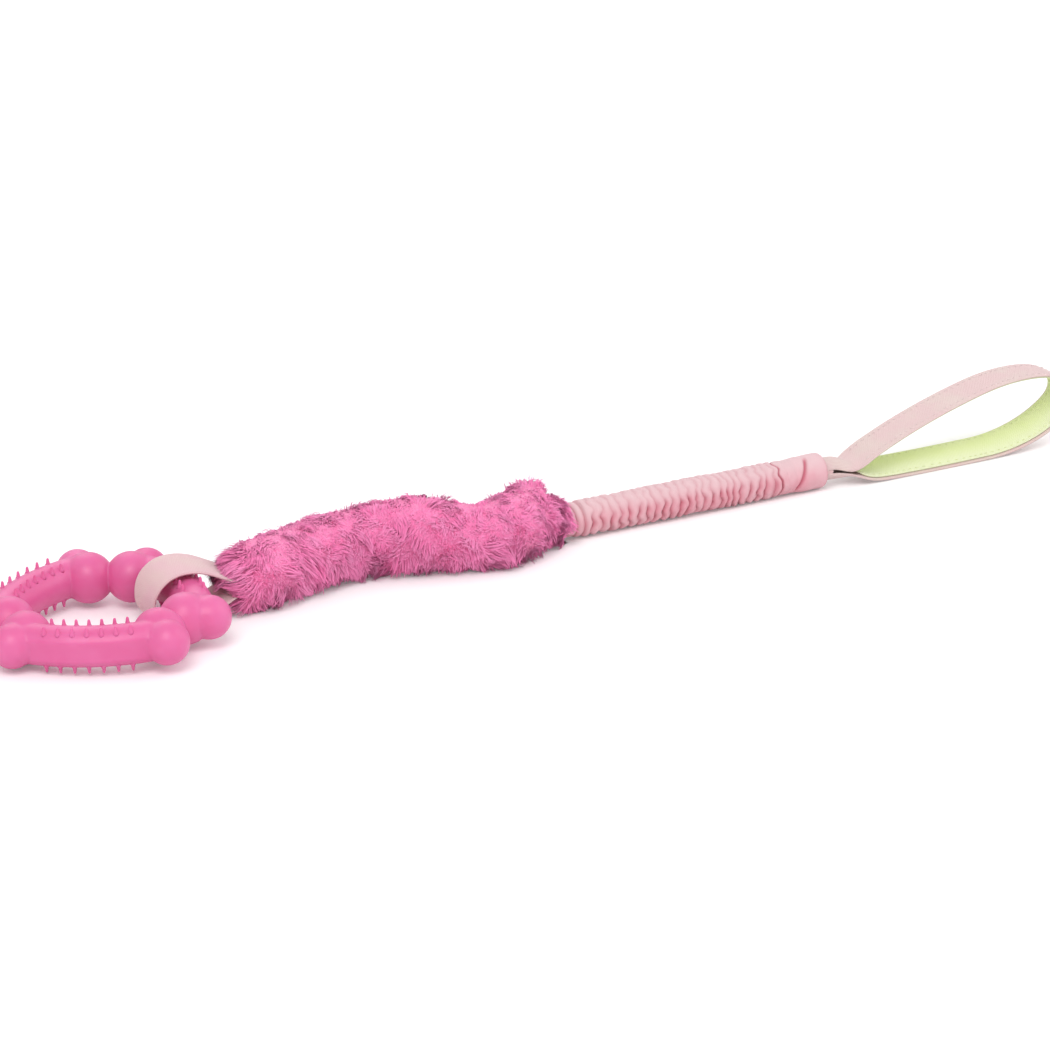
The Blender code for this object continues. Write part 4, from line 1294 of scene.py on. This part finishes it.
def loop_stitches(frames, tape_thread, lining_thread):
    """The stitches that join the two tapes, seen on both faces."""
    lengths = lengths_along([centre for centre, _, _, _ in frames])
    upcoming = 0.0
    outer_places = []
    inner_places = []
    for index, (centre, normal, wide, flare) in enumerate(frames[:-1]):
        if lengths[index] < upcoming or flare < STITCHED_FLARE:
            continue
        upcoming = lengths[index] + STITCH_PITCH
        ahead = frames[index + 1][0] - centre
        for side in (-1, 1):
            beside = centre + wide * side * (LINING_WIDTH / 2 - STITCH_INSET)
            outer = beside + normal * (LAYER_SEAM + HANDLE_WEB_THICKNESS)
            inner = beside - normal * (LAYER_SEAM + LINING_THICKNESS)
            outer_places.append(facing(outer, normal, ahead))
            inner_places.append(facing(inner, -normal, ahead))
    for name, places, thread, slot in (
            ("tape_stitches", outer_places, tape_thread, "pale_webbing"),
            ("lining_stitches", inner_places, lining_thread, "lime_lining")):
        stitches = copies(name, stitch_shape(), places, thread, slot)
        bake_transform(stitches)


def hand_loop(tape, lining, tape_thread, lining_thread):
    """The two tapes and their stitches, bending where they leave the cuff."""
    frames = loop_frames()
    loop_tapes(frames, tape, lining)
    loop_stitches(frames, tape_thread, lining_thread)


# Hidden soft pieces

def dressed_copy(name, source, material, slot, body, cuts=2, dent=0.0, seed=0.0):
    """A finer, softer copy of a hidden CAD piece."""
    bm = bmesh.new()
    bm.from_mesh(frame["nodes"][source].data)
    bmesh.ops.remove_doubles(bm, verts=bm.verts, dist=SEAM_GAP)
    bmesh.ops.dissolve_limit(bm, angle_limit=math.radians(1), verts=bm.verts, edges=bm.edges)
    bmesh.ops.triangulate(bm, faces=bm.faces)
    bmesh.ops.subdivide_edges(bm, edges=bm.edges, cuts=cuts, use_grid_fill=True)
    bmesh.ops.smooth_vert(bm, verts=bm.verts, factor=0.4, use_axis_x=True, use_axis_y=True,
                          use_axis_z=True)
    bm.normal_update()
    for vert in bm.verts:
        vert.co -= vert.normal * dent * (0.5 + 0.5 * wobble(vert.co, DENT_SCALE, seed))
    cloth = bm.loops.layers.uv.new("Cloth")
    for face in bm.faces:
        for corner in face.loops:
            corner[cloth].uv = (corner.vert.co.x, corner.vert.co.y)
    made = piece(name, bm, material, slot)
    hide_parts(source)
    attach(made, body)


# Scene

def backdrop():
    """Pale floor that keeps the toy's shadow and looks white to the camera."""
    bm = bmesh.new()
    bmesh.ops.create_grid(bm, x_segments=1, y_segments=1, size=FLOOR_HALF_WIDTH)
    bmesh.ops.translate(bm, verts=bm.verts, vec=(0, 0, -CLEARANCE / 3))
    data = bpy.data.meshes.new("floor")
    bm.to_mesh(data)
    bm.free()
    floor = bpy.data.objects.new("floor", data)
    bpy.context.scene.collection.objects.link(floor)
    material, tree, shader = material_with("floor_paper", 0.9, (("Specular IOR Level", 0.0),))
    shown = between(tree, cloudy(tree, 2.0), (0.93, 0.93, 0.93), (0.94, 0.94, 0.94))
    tree.links.new(shown, shader.inputs["Base Color"])
    ray = node(tree, "ShaderNodeLightPath")
    shader.inputs["Emission Color"].default_value = (1.0, 1.0, 1.0, 1.0)
    tree.links.new(maths(tree, "MULTIPLY", ray.outputs["Is Camera Ray"], FLOOR_GLOW),
                   shader.inputs["Emission Strength"])
    data.materials.append(material)


def lamp(name, place, size, power):
    """A soft square lamp aimed at the toy."""
    light = bpy.data.lights.new(name, "AREA")
    light.size = size
    light.energy = power
    made = bpy.data.objects.new(name, light)
    made.location = place
    made.rotation_euler = (CAMERA_TARGET - Vector(place)).to_track_quat("-Z", "Y").to_euler()
    bpy.context.scene.collection.objects.link(made)


def studio():
    """World light, lamps and camera."""
    world = bpy.data.worlds.new("studio")
    bpy.context.scene.world = world
    world.use_nodes = True
    sky = world.node_tree.nodes["Background"]
    ray = node(world.node_tree, "ShaderNodeLightPath")
    strength = maths(world.node_tree, "MULTIPLY_ADD", ray.outputs["Is Camera Ray"],
                     1 - WORLD_STRENGTH, WORLD_STRENGTH)
    world.node_tree.links.new(strength, sky.inputs["Strength"])
    sky.inputs["Color"].default_value = (1.0, 1.0, 1.0, 1.0)
    for name, place, size, power in LAMPS:
        lamp(name, place, size, power)

    back = Vector((math.sin(CAMERA_AZIMUTH) * math.cos(CAMERA_ELEVATION),
                   -math.cos(CAMERA_AZIMUTH) * math.cos(CAMERA_ELEVATION),
                   math.sin(CAMERA_ELEVATION)))
    data = bpy.data.cameras.new("camera")
    data.lens = CAMERA_LENS
    camera = bpy.data.objects.new("camera", data)
    camera.location = CAMERA_TARGET + back * CAMERA_DISTANCE
    camera.rotation_euler = (-back).to_track_quat("-Z", "Y").to_euler()
    bpy.context.scene.collection.objects.link(camera)
    bpy.context.scene.camera = camera
    bpy.context.scene.view_settings.view_transform = "Standard"


def dress():
    """Make every visible piece."""
    rubber = moulded_rubber()
    ring_moulding(rubber)
    ring_nubs(rubber)

    # Second colour of each tape: painted shade between its yarns
    strap = woven("strap_webbing", (0.77, 0.52, 0.56), (0.70, 0.40, 0.44), (0.77, 0.59, 0.57))
    ring_strap(strap)

    sleeve_backing(plush_backing())
    plush_pile(plush_hair())

    cloth = gathered_cloth()
    ruched_cloth(cloth)
    collar_cloth(cloth)
    cuff_cloth(cloth)

    tape = woven("handle_tape", (0.775, 0.580, 0.575), (0.70, 0.47, 0.475), (0.76, 0.64, 0.59))
    # The lime's last colour is painted light near one edge
    lime = woven("lime_tape", (0.76, 0.85, 0.40), (0.72, 0.79, 0.38), (0.79, 0.86, 0.48),
                 (0.81, 0.84, 0.64))
    hand_loop(tape, lime, sewing_thread("pale_thread", (0.79, 0.66, 0.64), (0.71, 0.55, 0.55)),
              sewing_thread("lime_thread", (0.80, 0.83, 0.56), (0.68, 0.74, 0.37)))

    fill = fibre_fill()
    dressed_copy("wadding_above", "upper_wadding", fill, "wadding", "sleeve", 2, WADDING_DENT, 1.0)
    dressed_copy("wadding_below", "lower_wadding", fill, "wadding", "sleeve", 2, WADDING_DENT, 2.0)
    dressed_copy("core_webbing", "core_strap", strap, "core_webbing", "sleeve")
    dressed_copy("tongue_webbing", "bungee_tongue", strap, "core_webbing", "bungee_head")
    dressed_copy("tail_webbing", "handle_tail", tape, "pale_webbing", "bungee_tail")
    sheath = elastic_sheath()
    for name, source in (("elastic_above", "bungee_cord_upper"),
                         ("elastic_below", "bungee_cord_lower")):
        dressed_copy(name, source, sheath, "elastic_cord", "bungee_head")
    binding = sewing_thread("binding_thread", (0.84, 0.80, 0.78), (0.60, 0.56, 0.55))
    for name, source, body in (("front_binding", "front_whipping", "bungee_head"),
                               ("rear_binding", "rear_whipping", "bungee_tail")):
        dressed_copy(name, source, binding, "whipping_thread", body, 1)


dress()
backdrop()
studio()
